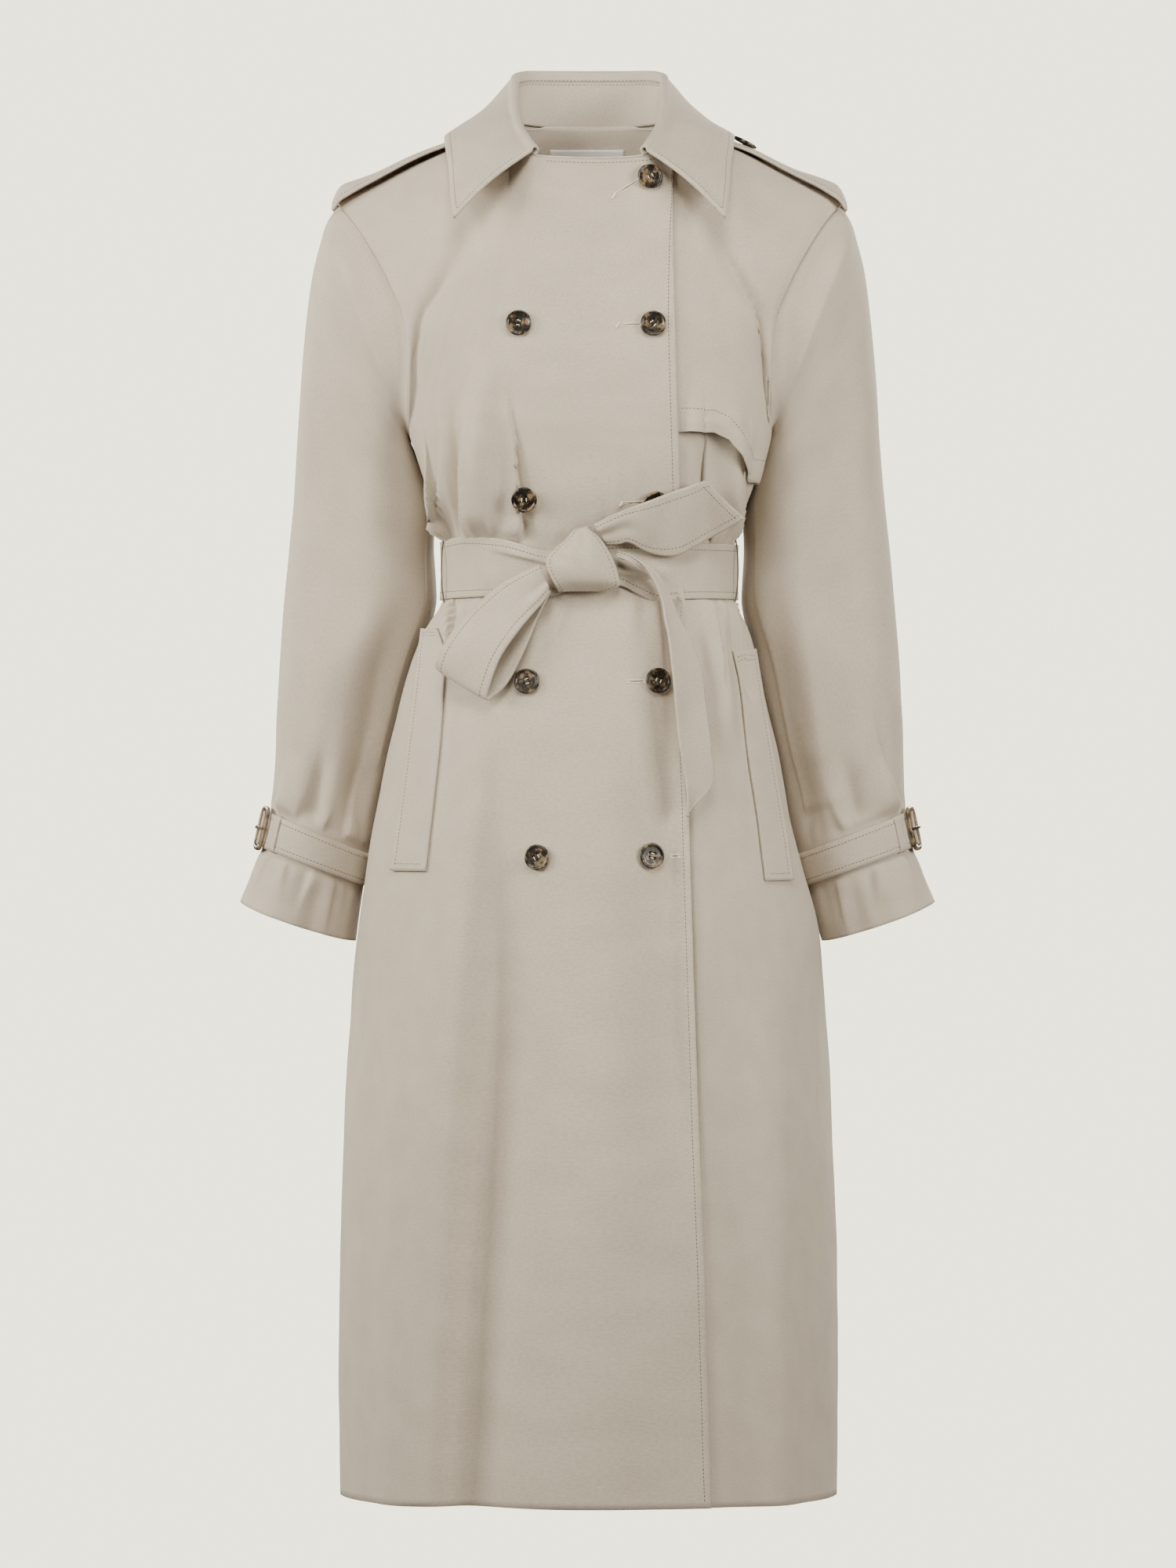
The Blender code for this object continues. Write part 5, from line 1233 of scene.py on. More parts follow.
def sleeve_point(side, ring, angle, out=0.0, creased=True):
    """Points of a sleeve's cloth. ring is 0 at the armhole and 14 at the cuff's edge; the angle
    is 0 outside, 90 in front and 180 against the body. Returns the points and what is outwards."""
    ring, angle = np.broadcast_arrays(np.asarray(ring, float), np.asarray(angle, float))
    sign = -1 if side == "right" else 1
    at = np.maximum(ring, 1)
    outer_x, outer_z, inner_x, inner_z, y, depth = (
        read(SLEEVE_RINGS, name, at) for name in SLEEVE_RINGS[0]._fields[1:]
    )
    if side == "right":
        outer_x = outer_x + read(SLEEVE_UNEVEN, "right_outer", at)
    else:
        inner_x = inner_x + read(SLEEVE_UNEVEN, "left_inner", at)
    turn = np.radians(angle)
    along_x, along_z = (outer_x - inner_x) / 2, (outer_z - inner_z) / 2
    centre_z = (outer_z + inner_z) / 2
    centre = np.stack([(outer_x + inner_x) / 2, y, centre_z], axis=-1)
    across = [along_x * np.cos(turn), -depth * np.sin(turn), along_z * np.cos(turn)]
    spoke = np.stack(across, axis=-1)
    outward = unit(spoke)
    spoke[..., 2] -= CUFF_DROP * ease((ring - STRAP_TO) / 2) * np.sin(turn)
    shift = 7.0 if side == "left" else 0.0
    lift = np.zeros(ring.shape)
    for fold in SLEEVE_FOLDS:
        down = (ring - fold.ring_top) / (fold.ring_bottom - fold.ring_top)
        at = between(fold.angle_top, fold.angle_bottom, down) + shift
        off = (angle - at + 180) % 360 - 180
        inside = np.minimum(ease(down / 0.45), ease((1 - down) / 0.3))
        if fold.ring_bottom >= len(SLEEVE_RINGS):
            inside = ease(down / 0.5)
        lift = lift + fold.depth * inside * np.exp(-((off / fold.width) ** 2))
    if creased:
        near = np.abs(ring - (STRAP_FROM + STRAP_TO) / 2) - 0.5
        held = ease(near / 0.35)
        wave = np.sin(turn * 17 + 2 * np.sin(turn * 3)) * (0.6 + 0.4 * np.sin(turn * 5 + 1))
        gather = 0.0011 * np.exp(-np.clip(near, 0, None) / 0.9) * wave
        slow = unevenness(turn * 0.07, centre_z, 2.0 + sign) * ease((ring - 0.6) / 2)
        lift = lift + (crease_height(side, ring, angle) + gather + slow) * held
    points = centre + spoke + outward * (lift + out)[..., None]
    points[..., 0] *= sign
    outward = outward * np.array([sign, 1, 1])
    if np.any(ring < 1):
        hole, run = ARMHOLES[side]
        at = np.mod(angle, 360) / 360 * 2 * PANEL_ROWS_ABOVE
        places = np.arange(2 * PANEL_ROWS_ABOVE + 1)
        head, leave = along_line(at, places, hole), along_line(at, places, run)
        span = np.linalg.norm(points - head, axis=-1, keepdims=True)
        head = head - leave * SLEEVE_TUCK + outward * (out - CLOTH * 2.2)
        first, further = (sleeve_point(side, k, angle, out, creased)[0] for k in (1.0, 1.3))
        arrive = unit(further - first)
        share = np.clip(ring, 0, 1)[..., None]
        eased = share * share * (3 - 2 * share)
        blended = (
            head * (1 - eased)
            + points * eased
            + leave * span * share * (1 - share) ** 2
            - arrive * span * share**2 * (1 - share) * 0.8
        )
        points = np.where(ring[..., None] < 1, blended, points)
    return points, outward


def make_sleeves():
    head, rest = np.linspace(0, 1, 12, endpoint=False), np.linspace(1, 14, SLEEVE_ROWS - 12)
    rings = np.concatenate([head, rest])
    for side in ("right", "left"):
        angle, ring = np.meshgrid(np.linspace(0, 360, SLEEVE_COLUMNS + 1), rings)
        points, outward = sleeve_point(side, ring, angle)
        cloth_piece("sleeve_" + side, points, outward, "coat", slot="sleeve_cloth")


def strap_frame(side, angle):
    """A frame on the strap's outer face: x round the wrist, y up the sleeve, z outwards."""
    middle = (STRAP_FROM + STRAP_TO) / 2

    def at(ring, turn):
        return sleeve_point(side, ring, turn, STRAP_OUT, False)[0]

    outward = sleeve_point(side, middle, angle, 0.0, False)[1]
    up = at(middle - 0.4, angle) - at(middle + 0.4, angle)
    z = unit(np.cross(at(middle, angle + 2) - at(middle, angle - 2), up))
    z = z * (1 if z @ outward > 0 else -1)
    x = unit(np.cross(unit(up), z))
    return np.array([x, np.cross(z, x), z]), at(middle, angle)


def placed(points, frame_at):
    axes, here = frame_at
    return points @ axes + here


def rounded(turn, power):
    """The cosine and sine of a turn, drawn out into a circle with flat sides."""
    corner = np.stack([np.cos(turn), np.sin(turn)], -1)
    return np.sign(corner) * np.abs(corner) ** power


def make_buckle(side):
    """A rounded frame with a bar across it, and the prong that lies over the strap."""
    place = strap_frame(side, BUCKLE_ANGLE)
    across, length, thick = BUCKLE_SIZE
    squared = rounded(np.linspace(0, 2 * math.pi, 73), 0.45)
    middle = squared * [(length - BUCKLE_BAR) / 2, (across - BUCKLE_BAR) / 2]
    section = rounded(np.linspace(0, 2 * math.pi, 13), 0.7)
    ring = np.empty((len(squared), len(section), 3))
    ring[..., :2] = middle[:, None] + unit(squared)[:, None] * section[:, :1] * BUCKLE_BAR / 2
    ring[..., 2] = STRAP_CLEAR + thick / 2 + section[:, 1] * thick / 2
    mesh = grid_mesh("cuff_buckle_" + side, placed(ring, place))
    add_piece("cuff_buckle_" + side + "_frame", mesh, "amber", ("cuff_buckle_" + side,))
    bm = bmesh.new()
    bmesh.ops.create_cube(bm, size=1.0)
    bmesh.ops.subdivide_edges(bm, edges=bm.edges, cuts=2, use_grid_fill=True)
    for vert in bm.verts:
        share = vert.co.x + 0.5
        narrow = 1.0 - 0.35 * share
        rise = STRAP_CLEAR + thick + 0.001 - 0.0012 * math.sin(math.pi * share)
        x, y, z = vert.co
        sized = [x * (length - 0.001), y * 0.0036 * narrow, z * 0.0019 + rise]
        vert.co = placed(np.array(sized), place)
    bmesh.ops.recalc_face_normals(bm, faces=bm.faces)
    nodes = ("cuff_prong_" + side,)
    round_off(add_piece("cuff_prong_" + side + "_bar", mesh_of(bm, "prong"), "horn", nodes))


def make_straps():
    lines = []
    low, high = STRAP_FROM + 0.06, STRAP_TO - 0.06
    middle = (low + high) / 2
    for side in ("right", "left"):

        def lay(name, node, angle, ring, out, wall=DOUBLE_CLOTH):
            points, outward = sleeve_point(side, ring, angle, out, False)
            cloth_piece(name, points, outward, "coat", wall, (node,), "strap_cloth")
            return points, grid_outside(points, outward)

        name = "cuff_strap_" + side
        angle, ring = np.meshgrid(np.linspace(0, 360, 145), np.linspace(low, high, 9))
        crown = STRAP_OUT + 0.0006 * np.sin(math.pi * (ring - low) / (high - low))
        strap = lay(name, name, angle, ring, crown)
        lines += [inset_line(*strap, edge, STRAP_STITCH) for edge in ("top", "bottom")]
        round_it = np.linspace(BUCKLE_ANGLE - 3, -38, 30)
        angle, ring = np.meshgrid(round_it, np.linspace(low + 0.02, high - 0.02, 9))
        tip = np.clip((round_it + 38) / 12, 0, 1)
        ring = middle + (ring - middle) * (0.25 + 0.75 * np.sqrt(1 - (1 - tip) ** 2))
        tongue = lay(name + "_tongue", name, angle, ring, STRAP_OUT + DOUBLE_CLOTH + 0.0008)
        for edge in ("top", "bottom"):
            lines.append(trimmed(*inset_line(*tongue, edge, STRAP_STITCH * 0.9), 0.0, 0.008))
        rings = np.linspace(STRAP_FROM + 0.03, STRAP_TO - 0.03, 21)
        angle, ring = np.meshgrid(np.linspace(-4.6, 4.6, 9) + KEEPER_ANGLE, rings)
        share = (ring - rings[0]) / (rings[-1] - rings[0])
        hug = STRAP_OUT + LAYER_GAP + CLOTH - 0.0036 * np.abs(2 * share - 1) ** 8
        lay("cuff_keeper_" + side, "cuff_keeper_" + side, angle, ring, hug, CLOTH)
        make_buckle(side)
    stitches("stitching_straps", lines, slot="strap_cloth")


# ---- collar and neck
def neck_edge(sign, side, s):
    """The panels' own top edge."""
    if side == "back":
        return along_line(s * sign, BACK_CUTS, BACK.points[-1])
    beyond = LEFT_CUTS > 1 + 1e-6
    cuts = np.concatenate([RIGHT_CUTS, LEFT_CUTS[beyond]])
    points = np.vstack([RIGHT_FRONT.points[-1], LEFT_FRONT.points[-1][beyond] + [0, 0, CLOTH]])
    return along_line(s * sign, front_column(cuts, np.ones(len(cuts))), points)


def collar_frame():
    """Round the neck from the right front end to the left one: the neckline, the roll, the edge,
    the crown and the outward direction."""
    back_share = 0.56
    half = np.linspace(0, 1, 56)
    rows = []
    for sign in (-1, 1):
        for place in half if sign > 0 else half[:0:-1]:
            if place <= back_share:
                base = neck_edge(sign, "back", place / back_share * NECK_AT)
            else:
                s = between(NECK_AT, COLLAR_END_AT, (place - back_share) / (1 - back_share))
                base = neck_edge(sign, "front", s)
            row = np.array([read(COLLAR, name, place) for name in COLLAR[0]._fields[1:]])
            roll, edge, crown = row[:3] * [sign, 1, 1], row[3:6] * [sign, 1, 1], row[6]
            rows.append((base, roll, edge, crown, unit((edge - roll) * [1, 1, 0])))
    return [np.array([row[k] for row in rows]) for k in range(5)]


def make_collar():
    """The stand round the neck, and the collar that turns over it and falls outside."""
    base, roll, edge, crown, outward = collar_frame()
    radius = COLLAR_FOLD / 2 + DOUBLE_CLOTH
    middle = roll - [0, 0, radius]
    foot = base - outward * DOUBLE_CLOTH + [0, 0, NECK_SEAM_GAP]
    inner = middle - outward * radius
    stand = np.array([between(foot, inner, share) for share in np.linspace(0, STAND_SHARE, 14)])
    inward = np.array([-outward] * 14)
    cloth_piece("collar_stand", stand, inward, "collar", DOUBLE_CLOTH)
    length = np.linalg.norm(inner - foot, axis=1)[:, None]
    rows = [between(foot, inner, STAND_SHARE + COLLAR_SEAM_GAP / length)]
    rows.append((rows[0] + inner) / 2)
    for turn in np.linspace(0, math.pi, 13):
        rows.append(middle - outward * radius * math.cos(turn) + [0, 0, radius * math.sin(turn)])
    outer = middle + outward * radius
    fall = edge - outer
    upward = unit(np.cross(np.cross(fall, [0, 0, 1]), fall))
    wave = np.linspace(0, 1, len(edge))
    for share in np.linspace(0, 1, 22)[1:]:
        bulge = crown * math.sin(math.pi * share)
        slow = 0.0012 * share * np.sin(wave * 31 + 2 * share)
        slow = slow + 0.0008 * np.sin(wave * 57 + 5 * share)
        tips = 0.0016 * share**3 * (np.exp(-wave / 0.03) + np.exp(-(1 - wave) / 0.03))
        rows.append(outer + fall * share + upward * (bulge + slow * share - tips)[:, None])
    points = np.array(rows)
    fold, rise = 15, outward + [0, 0, 0.6]
    toward = np.concatenate([inward[:8], np.array([rise] * (len(rows) - 8))])
    cloth_piece("collar", points, toward, "collar", DOUBLE_CLOTH)
    falls, up = points[fold:], grid_outside(points, toward)[fold:]
    lines = [inset_line(falls, up, "top", COLLAR_STITCH, COLLAR_STITCH)]
    for end in ("first", "last"):
        lines.append(trimmed(*inset_line(falls, up, end, COLLAR_STITCH), 0.004, COLLAR_STITCH))
    lines.append(inset_line(stand, grid_outside(stand, inward), "top", 0.0022, 0.002))
    under = grid_outside(points[:4], inward[:4])
    lines.append(inset_line(points[:4], under, "bottom", 0.0016, 0.002))
    # A tube of the dark thread along the foot of the stand: painted shadow of the neck seam's line.
    seam = foot - outward * 0.0002
    thread_tube("neck_seam_painted_shadow", [seam[4:-4]], 0.0003, "thread", "collar_cloth")
    stitches("stitching_collar", lines, slot="collar_cloth")


def make_neck_inside():
    """The facing inside the back neck, and the blank label on it."""
    rows = ROWS > 0.66
    columns = np.abs(BACK_CUTS) < NECK_AT + 0.004
    points = (BACK.points - BACK.normal * (CLOTH + LAYER_GAP))[rows][:, columns]
    normal = BACK.normal[rows][:, columns]
    cloth_piece("neck_facing", points, normal, "facing", FACING)
    sink = CLOTH + FACING + 3 * LAYER_GAP
    x, z = np.meshgrid(np.linspace(*LABEL_X, 30), np.linspace(*LABEL_Z, 16))
    s, t = find("back", x, z)
    points = torso_base("back", s, t) - torso_normal("back", s, t) * sink
    uneven = unevenness(x * 4, z * 4, 3)[..., None] * 0.3
    points -= grid_outside(points, np.array([0, 1, 0])) * uneven
    outside = grid_outside(points, np.array([0, 1, 0]))
    cloth_piece("label", points, outside, "label", LABEL)


def make_epaulettes():
    """A strap along each shoulder, from the collar to the sleeve."""
    lines = []
    for side, sign in (("right", -1), ("left", 1)):
        share = np.linspace(0, 1, 61)
        x = between(EPAULETTE_FROM, EPAULETTE_TO, share)
        half = read(EPAULETTE, "half_width", share)
        lift = read(EPAULETTE, "lift", share)
        across = np.linspace(-1, 1, 31)
        y = across[None, :] * half[:, None]
        drop = EPAULETTE_DROP * (y / 0.025) ** 2 * read(EPAULETTE, "wrap", share)[:, None]
        point_back = (1 - np.abs(across[None, :])) * read(EPAULETTE, "point", share)[:, None]
        grid_x = x[:, None] - point_back
        seam_z = NECK_POINT[1] - (grid_x - NECK_POINT[0]) * SHOULDER_SLOPE
        slow = 0.0007 * np.sin(x * 90 + sign)[:, None] * (1 + 0.5 * across)[None, :]
        end = ease((share - 0.93) / 0.07)[:, None]
        behind = ease(across / 0.9)[None, :] * (lift[:, None] - 0.0004)
        grid_z = seam_z + lift[:, None] - drop + slow - 0.0016 * end - behind
        grid = np.stack([grid_x * sign, y, grid_z], -1)
        outside = grid_outside(grid, np.array([0, 0, 1]))
        name = "epaulette_" + side
        cloth_piece(name, grid, outside, "coat", DOUBLE_CLOTH, slot="strap_cloth")
        for edge in ("first", "last"):
            lines.append(trimmed(*inset_line(grid, outside, edge, STRAP_STITCH), 0.004, 0.0))
        lines.append(inset_line(grid, outside, "bottom", STRAP_STITCH, STRAP_STITCH))
    stitches("stitching_epaulettes", lines, slot="strap_cloth")


# ---- belt
def before_coat(x, z, out):
    """Points that lie `out` in front of the coat at x, z. Beyond the front of the body the belt
    keeps on straight, rather than turning round the side."""
    s, t = find("front", np.clip(x, -BELT_STRAIGHT_X, BELT_STRAIGHT_X), z)
    y = torso_base("front", s, t)[..., 1] - np.asarray(out)
    return np.stack(np.broadcast_arrays(x, y, z), axis=-1)


# A soft crease along a length of belt: its place across, its depth and width, and the shares of
# the length at which it starts to fade and is gone.
Line = namedtuple("Line", "share depth width fade gone")


def ribbon(name, rungs, count, bulge, creases, ends=()):
    """A length of belt between its two edges, with its face towards -Y at its first rung."""
    first = before_coat(*np.array([(row.ax, row.az, row.a_out) for row in rungs]).T)
    second = before_coat(*np.array([(row.bx, row.bz, row.b_out) for row in rungs]).T)
    both = through(np.hstack([first, second]), count)[:, None]
    share = np.linspace(0, 1, 25)[None, :, None]
    points = both[..., :3] * (1 - share) + both[..., 3:] * share
    normal = unit(np.cross(both[..., 3:] - both[..., :3], np.gradient(points, axis=0)))
    if normal[0, 0, 1] > 0:
        normal = -normal
    down = np.linspace(0, 1, count)[:, None, None]
    lift = bulge * np.sin(share * math.pi) + 0.0006 * np.sin(down * 19 + share * 3)
    for crease in creases:
        left = ease((crease.gone - down) / (crease.gone - crease.fade))
        lift = lift + crease.depth * left * np.exp(-(((share - crease.share) / crease.width) ** 2))
    points = points + normal * lift
    facing = grid_outside(points, normal)
    cloth_piece(name, points, facing, "belt", DOUBLE_CLOTH)
    columns = (round(place * 24) for place in (BELT_STITCH_SHARE, 1 - BELT_STITCH_SHARE))
    lines = [(points[:, k], facing[:, k]) for k in columns]
    return lines + [inset_line(points, facing, end, 0.0058, 0.0045) for end in ends]


# The band's lower and upper edges in front, as heights at each x.
BAND_EDGES = table("x low high", [
    (-133, -411.8, -358.8),
    (-107, -411, -354.5),
    (-75, -410.5, -357.5),
    (-35, -410.5, -368),
    (0, -399, -364),
    (27, -401, -360),
    (43, -408.5, -360),
    (62, -416.5, -361),
    (80, -413, -361),
    (133, -411.5, -361),
])
# A tuck of the band where it runs into the knot: x and z of its two ends, how far it stands out,
# how sharp its lower side is and how broad its upper side.
BAND_TUCKS = table("x_from z_from x_to z_to depth sharp broad", [
    (-96, -365, -40, -380, 5, 0.6, 13),
    (80, -396.5, 26, -390.5, 3.6, 0.6, 12),
    (100, -385, 56, -390, 2.2, 2, 9),
    (-115, -390, -50, -401, 1.6, 3, 10),
])


def band_points():
    """The band round the waist, over the folds, drawn in and tucked next to the knot."""
    share = np.linspace(0, 1, 31)[:, None]
    middle = BELT_MIDDLE_OUT * np.sin(math.pi * share)
    level = height(np.array([BELT_MIDDLE_Z]))
    rows = []
    front_cuts = np.concatenate([RIGHT_CUTS, LEFT_CUTS[LEFT_CUTS > 1]])
    for side, columns in (("front", front_cuts), ("back", -BACK_CUTS[1:-1])):
        if side == "front":
            across = torso_base(side, front_column(columns, level), level)[:, 0]
            low, high = read(BAND_EDGES, "low", across), read(BAND_EDGES, "high", across)
        else:
            turn = np.linspace(0, 1, len(columns))
            low = between(BAND_EDGES[-1].low, BAND_EDGES[0].low, turn)
            high = between(BAND_EDGES[-1].high, BAND_EDGES[0].high, turn)
        z = between(low, high, share)
        t = height(z)
        s = front_column(columns + 0 * t, t) if side == "front" else columns + 0 * t
        s = np.clip(s, -1 + SIDE_INSET, 1 - SIDE_INSET)
        base = torso_base(side, s, t)
        normal = torso_normal(side, s, t)
        lift = np.maximum(fold_height(side, s, base[..., 2]), 0)
        out = lift + LAYER_GAP + DOUBLE_CLOTH + middle + 0.0004
        x = base[..., 0]
        if side == "front":
            for tuck in BAND_TUCKS:
                along = (x - tuck.x_from) / (tuck.x_to - tuck.x_from)
                above = z - between(tuck.z_from, tuck.z_to, along)
                step = 1 / (1 + np.exp(-np.clip(above / tuck.sharp, -30, 30)))
                fall = np.exp(-np.clip(above, 0, None) / tuck.broad)
                out = out + tuck.depth * ease(along / 0.7) * ease((1.8 - along) / 0.5) * step * fall
        out = out + 0.0006 * np.sin(x * 70 + 2) * np.sin(math.pi * share)
        rows.append(base + normal * out[..., None])
    return np.concatenate([*rows, rows[0][:, :1]], axis=1)


def make_knot():
    """The band that wraps the crossing, drawn in at its top, as a short wide tube."""
    rows, columns = 61, 41
    z_top, z_bottom = KNOT[0].z, KNOT[-1].z
    front = np.linspace(0, math.pi, rows // 2 + 1)
    z = z_top + (z_bottom - z_top) * (1 - np.cos(front)) / 2
    turn_z = np.concatenate([z, z[-2:0:-1], z[:1]])
    in_front = np.concatenate([np.ones(len(z)), np.zeros(len(z) - 2), np.ones(1)])[:, None] > 0
    middle, half, out = (read(KNOT[::-1], name, turn_z)[:, None] for name in KNOT[0]._fields[1:])
    u = np.linspace(-1, 1, columns)[None, :]
    down = ((z_top - turn_z) / (z_top - z_bottom))[:, None]
    face = out * (1 - 0.3 * np.abs(u) ** 3.2)
    for place, depth, width in KNOT_RIDGES:
        bend = place * (1 + 0.35 * (down - 0.4))
        ridge = depth * np.exp(-(((u - bend) / width) ** 2))
        face = face + ridge * np.sin(math.pi * np.clip(down, 0, 1))
    for place, high, depth, wide, tall in KNOT_DIMPLES:
        slant = down - high - 0.18 * (u - place)
        face = face - depth * np.exp(-(((u - place) / wide) ** 2) - (slant / tall) ** 2)
    behind = 0.0075 + 0.0015 * np.sin(math.pi * down) + 0 * u
    depth = np.where(in_front, np.maximum(face, behind), behind)
    tube = before_coat(middle + half * u, turn_z[:, None] + 0 * u, depth).transpose(1, 0, 2)
    outside = grid_outside(tube, tube - tube.mean(axis=(0, 1)))
    cloth_piece("belt_knot", tube, outside, "belt", DOUBLE_CLOTH)
    shown = slice(2, rows // 2 - 1)
    edges = (inset_line(tube, outside, edge, 0.005) for edge in ("bottom", "top"))
    return [(line[shown], up[shown]) for line, up in edges]


def make_belt():
    """The band round the waist, the knot, the bow, the two ends and the thread carriers."""
    points = band_points()
    facing = grid_outside(points, points * [1, 1, 0])
    cloth_piece("belt_band", points, facing, "belt", DOUBLE_CLOTH)
    lines = [inset_line(points, facing, edge, EDGE_STITCH) for edge in ("top", "bottom")]
    loop = [
        Line(0.8, 0.0022, 0.1, 0.02, 0.3),
        Line(0.2, 0.0012, 0.16, 0.02, 0.22),
        Line(0.6, -0.0012, 0.1, 0.02, 0.26),
        Line(0.4, 0.002, 0.16, 0.98, 0.66),
    ]
    lines += ribbon("belt_bow_loop", BOW_LOOP, 150, 0.0016, loop)
    up = [Line(0.25, 0.0016, 0.14, 0.04, 0.4), Line(0.55, -0.002, 0.14, 0.04, 0.4)]
    lines += ribbon("belt_end_up", END_UP, 80, 0.0014, up, ("top",))
    down = [Line(0.4, 0.003, 0.15, 0.06, 0.42), Line(0.72, -0.002, 0.12, 0.04, 0.3)]
    lines += ribbon("belt_end_down", END_DOWN, 120, 0.0018, down, ("top",))
    lines += make_knot()
    stitches("stitching_belt", lines, slot="belt_cloth")
    loops = []
    for sign in (-1, 1):
        s, t = find("front", sign * 0.128, BELT_BOTTOM_Z - 0.004)
        base = torso_base("front", s, t)
        normal = torso_normal("front", s, t)
        out = 0.001 + 0.0062 * np.sin(np.linspace(0, math.pi, 40)) ** 0.35
        path = base + normal * out[:, None]
        path[:, 2] = np.linspace(BELT_BOTTOM_Z - 0.006, BELT_TOP_Z + 0.006, 40)
        loops.append(path)
    thread_tube("belt_carriers", loops, 0.0007, "thread", "belt_cloth")


# ---- trim
def make_pockets():
    lines = []
    share = np.linspace(0, 1, 19)
    for name, pocket in POCKETS.items():
        z = np.linspace(pocket.z_bottom, pocket.z_top, 70)
        down = (z - pocket.z_top) / (pocket.z_bottom - pocket.z_top)
        outer = between(pocket.x_top, pocket.x_bottom, down)
        s_outer, t = find("front", outer, z)
        around = quarter_girth("front", z)
        s = s_outer[:, None] + share[None, :] * pocket.turn * pocket.width / around[:, None]
        edge = np.interp(t, ROWS, EDGE_COLUMN)[:, None]
        if pocket.turn > 0:
            under, panel, cut = "front_right", RIGHT_FRONT, (s + 1) / (edge + 1)
        else:
            under, panel, cut = "front_left", LEFT_FRONT, 1 + (s - edge) / (1 - edge)
        points, normal = on_panel(panel, cut, t[:, None] + 0 * s, WELT_CLEAR + DOUBLE_CLOTH)
        points = points + normal * (0.0022 * np.exp(-share / 0.18))[None, :, None]
        cloth_piece(name, points, normal, "coat", DOUBLE_CLOTH)
        facing = grid_outside(points, normal)
        for which in ("first", "top", "bottom"):
            lines.append(inset_line(points, facing, which, EDGE_STITCH, 0.005))
        lines.append(inset_line(points, facing, "top", EDGE_STITCH + 0.0045, 0.006))
    stitches("stitching_pockets", lines)


def verts_of(made):
    return [item for item in made if isinstance(item, bmesh.types.BMVert)]


def button_shape():
    """A turned button with a rim, a dish and four holes, its axis along +Z."""
    bm = bmesh.new()
    bmesh.ops.create_grid(bm, x_segments=4, y_segments=4, size=1.0)
    holes = [face for face in bm.faces if max(abs(k) for k in face.calc_center_median()[:2]) < 0.5]
    for vert in bm.verts:
        x, y = vert.co.x, vert.co.y
        flat = (x * math.sqrt(1 - y * y / 2), y * math.sqrt(1 - x * x / 2))
        vert.co = (flat[0] * DISH_RADIUS, flat[1] * DISH_RADIUS, DISH_HEIGHT)
    rim = [edge for edge in bm.edges if edge.is_boundary]
    for radius, high in RIM_PROFILE:
        made = bmesh.ops.extrude_edge_only(bm, edges=rim)["geom"]
        for vert in verts_of(made):
            flat = Vector((vert.co.x, vert.co.y, 0)).normalized() * radius
            vert.co = (flat.x, flat.y, high)
        rim = [item for item in made if isinstance(item, bmesh.types.BMEdge)]
    bmesh.ops.contextual_create(bm, geom=rim)
    bmesh.ops.inset_individual(bm, faces=holes, thickness=0.0011, use_even_offset=True)
    made = bmesh.ops.extrude_face_region(bm, geom=holes)["geom"]
    bmesh.ops.delete(bm, geom=holes, context="FACES_ONLY")
    for vert in verts_of(made):
        vert.co.z -= HOLE_DEPTH
    bmesh.ops.recalc_face_normals(bm, faces=bm.faces)
    return mesh_of(bm, "button")


DISH_RADIUS = 0.0086
DISH_HEIGHT = 0.0022
HOLE_DEPTH = 0.0017
RIM_PROFILE = [
    (0.0092, 0.00235),
    (0.0098, 0.003),
    (0.0108, 0.0032),
    (0.0117, 0.0026),
    (0.012, 0.0014),
    (0.0114, 0.0003),
    (0.009, 0.0),
]


def sew_button(shape, name, place, axis, spin):
    """A button turned and placed on its cloth, with its shank and the thread in its holes."""
    turn = Vector(axis).to_track_quat("Z", "Y").to_matrix().to_4x4() @ Matrix.Rotation(spin, 4, "Z")
    matrix = Matrix.Translation(Vector(place)) @ turn
    mesh = shape.copy()
    mesh.transform(matrix)
    round_off(add_piece(name + "_horn", mesh, "horn", (name,)))
    bm = bmesh.new()
    for x in (-0.0021, 0.0021):
        middle = matrix @ Vector((x, 0, DISH_HEIGHT + 0.0001))
        stitch(bm, middle, turn.to_3x3() @ Vector((0, 1, 0)), axis, 0.0046, 0.0009, 0.0007)
    sunk = matrix @ Matrix.Translation((0, 0, -BUTTON_SHANK / 2))
    radii = {"radius1": 0.0016, "radius2": 0.0016, "depth": BUTTON_SHANK + 0.001}
    bmesh.ops.create_cone(bm, cap_ends=True, segments=10, matrix=sunk, **radii)
    sewn = bpy.data.meshes.new(name + "_thread")
    bm.to_mesh(sewn)
    bm.free()
    add_piece(name + "_thread", sewn, "pale thread", (), "coat_cloth")


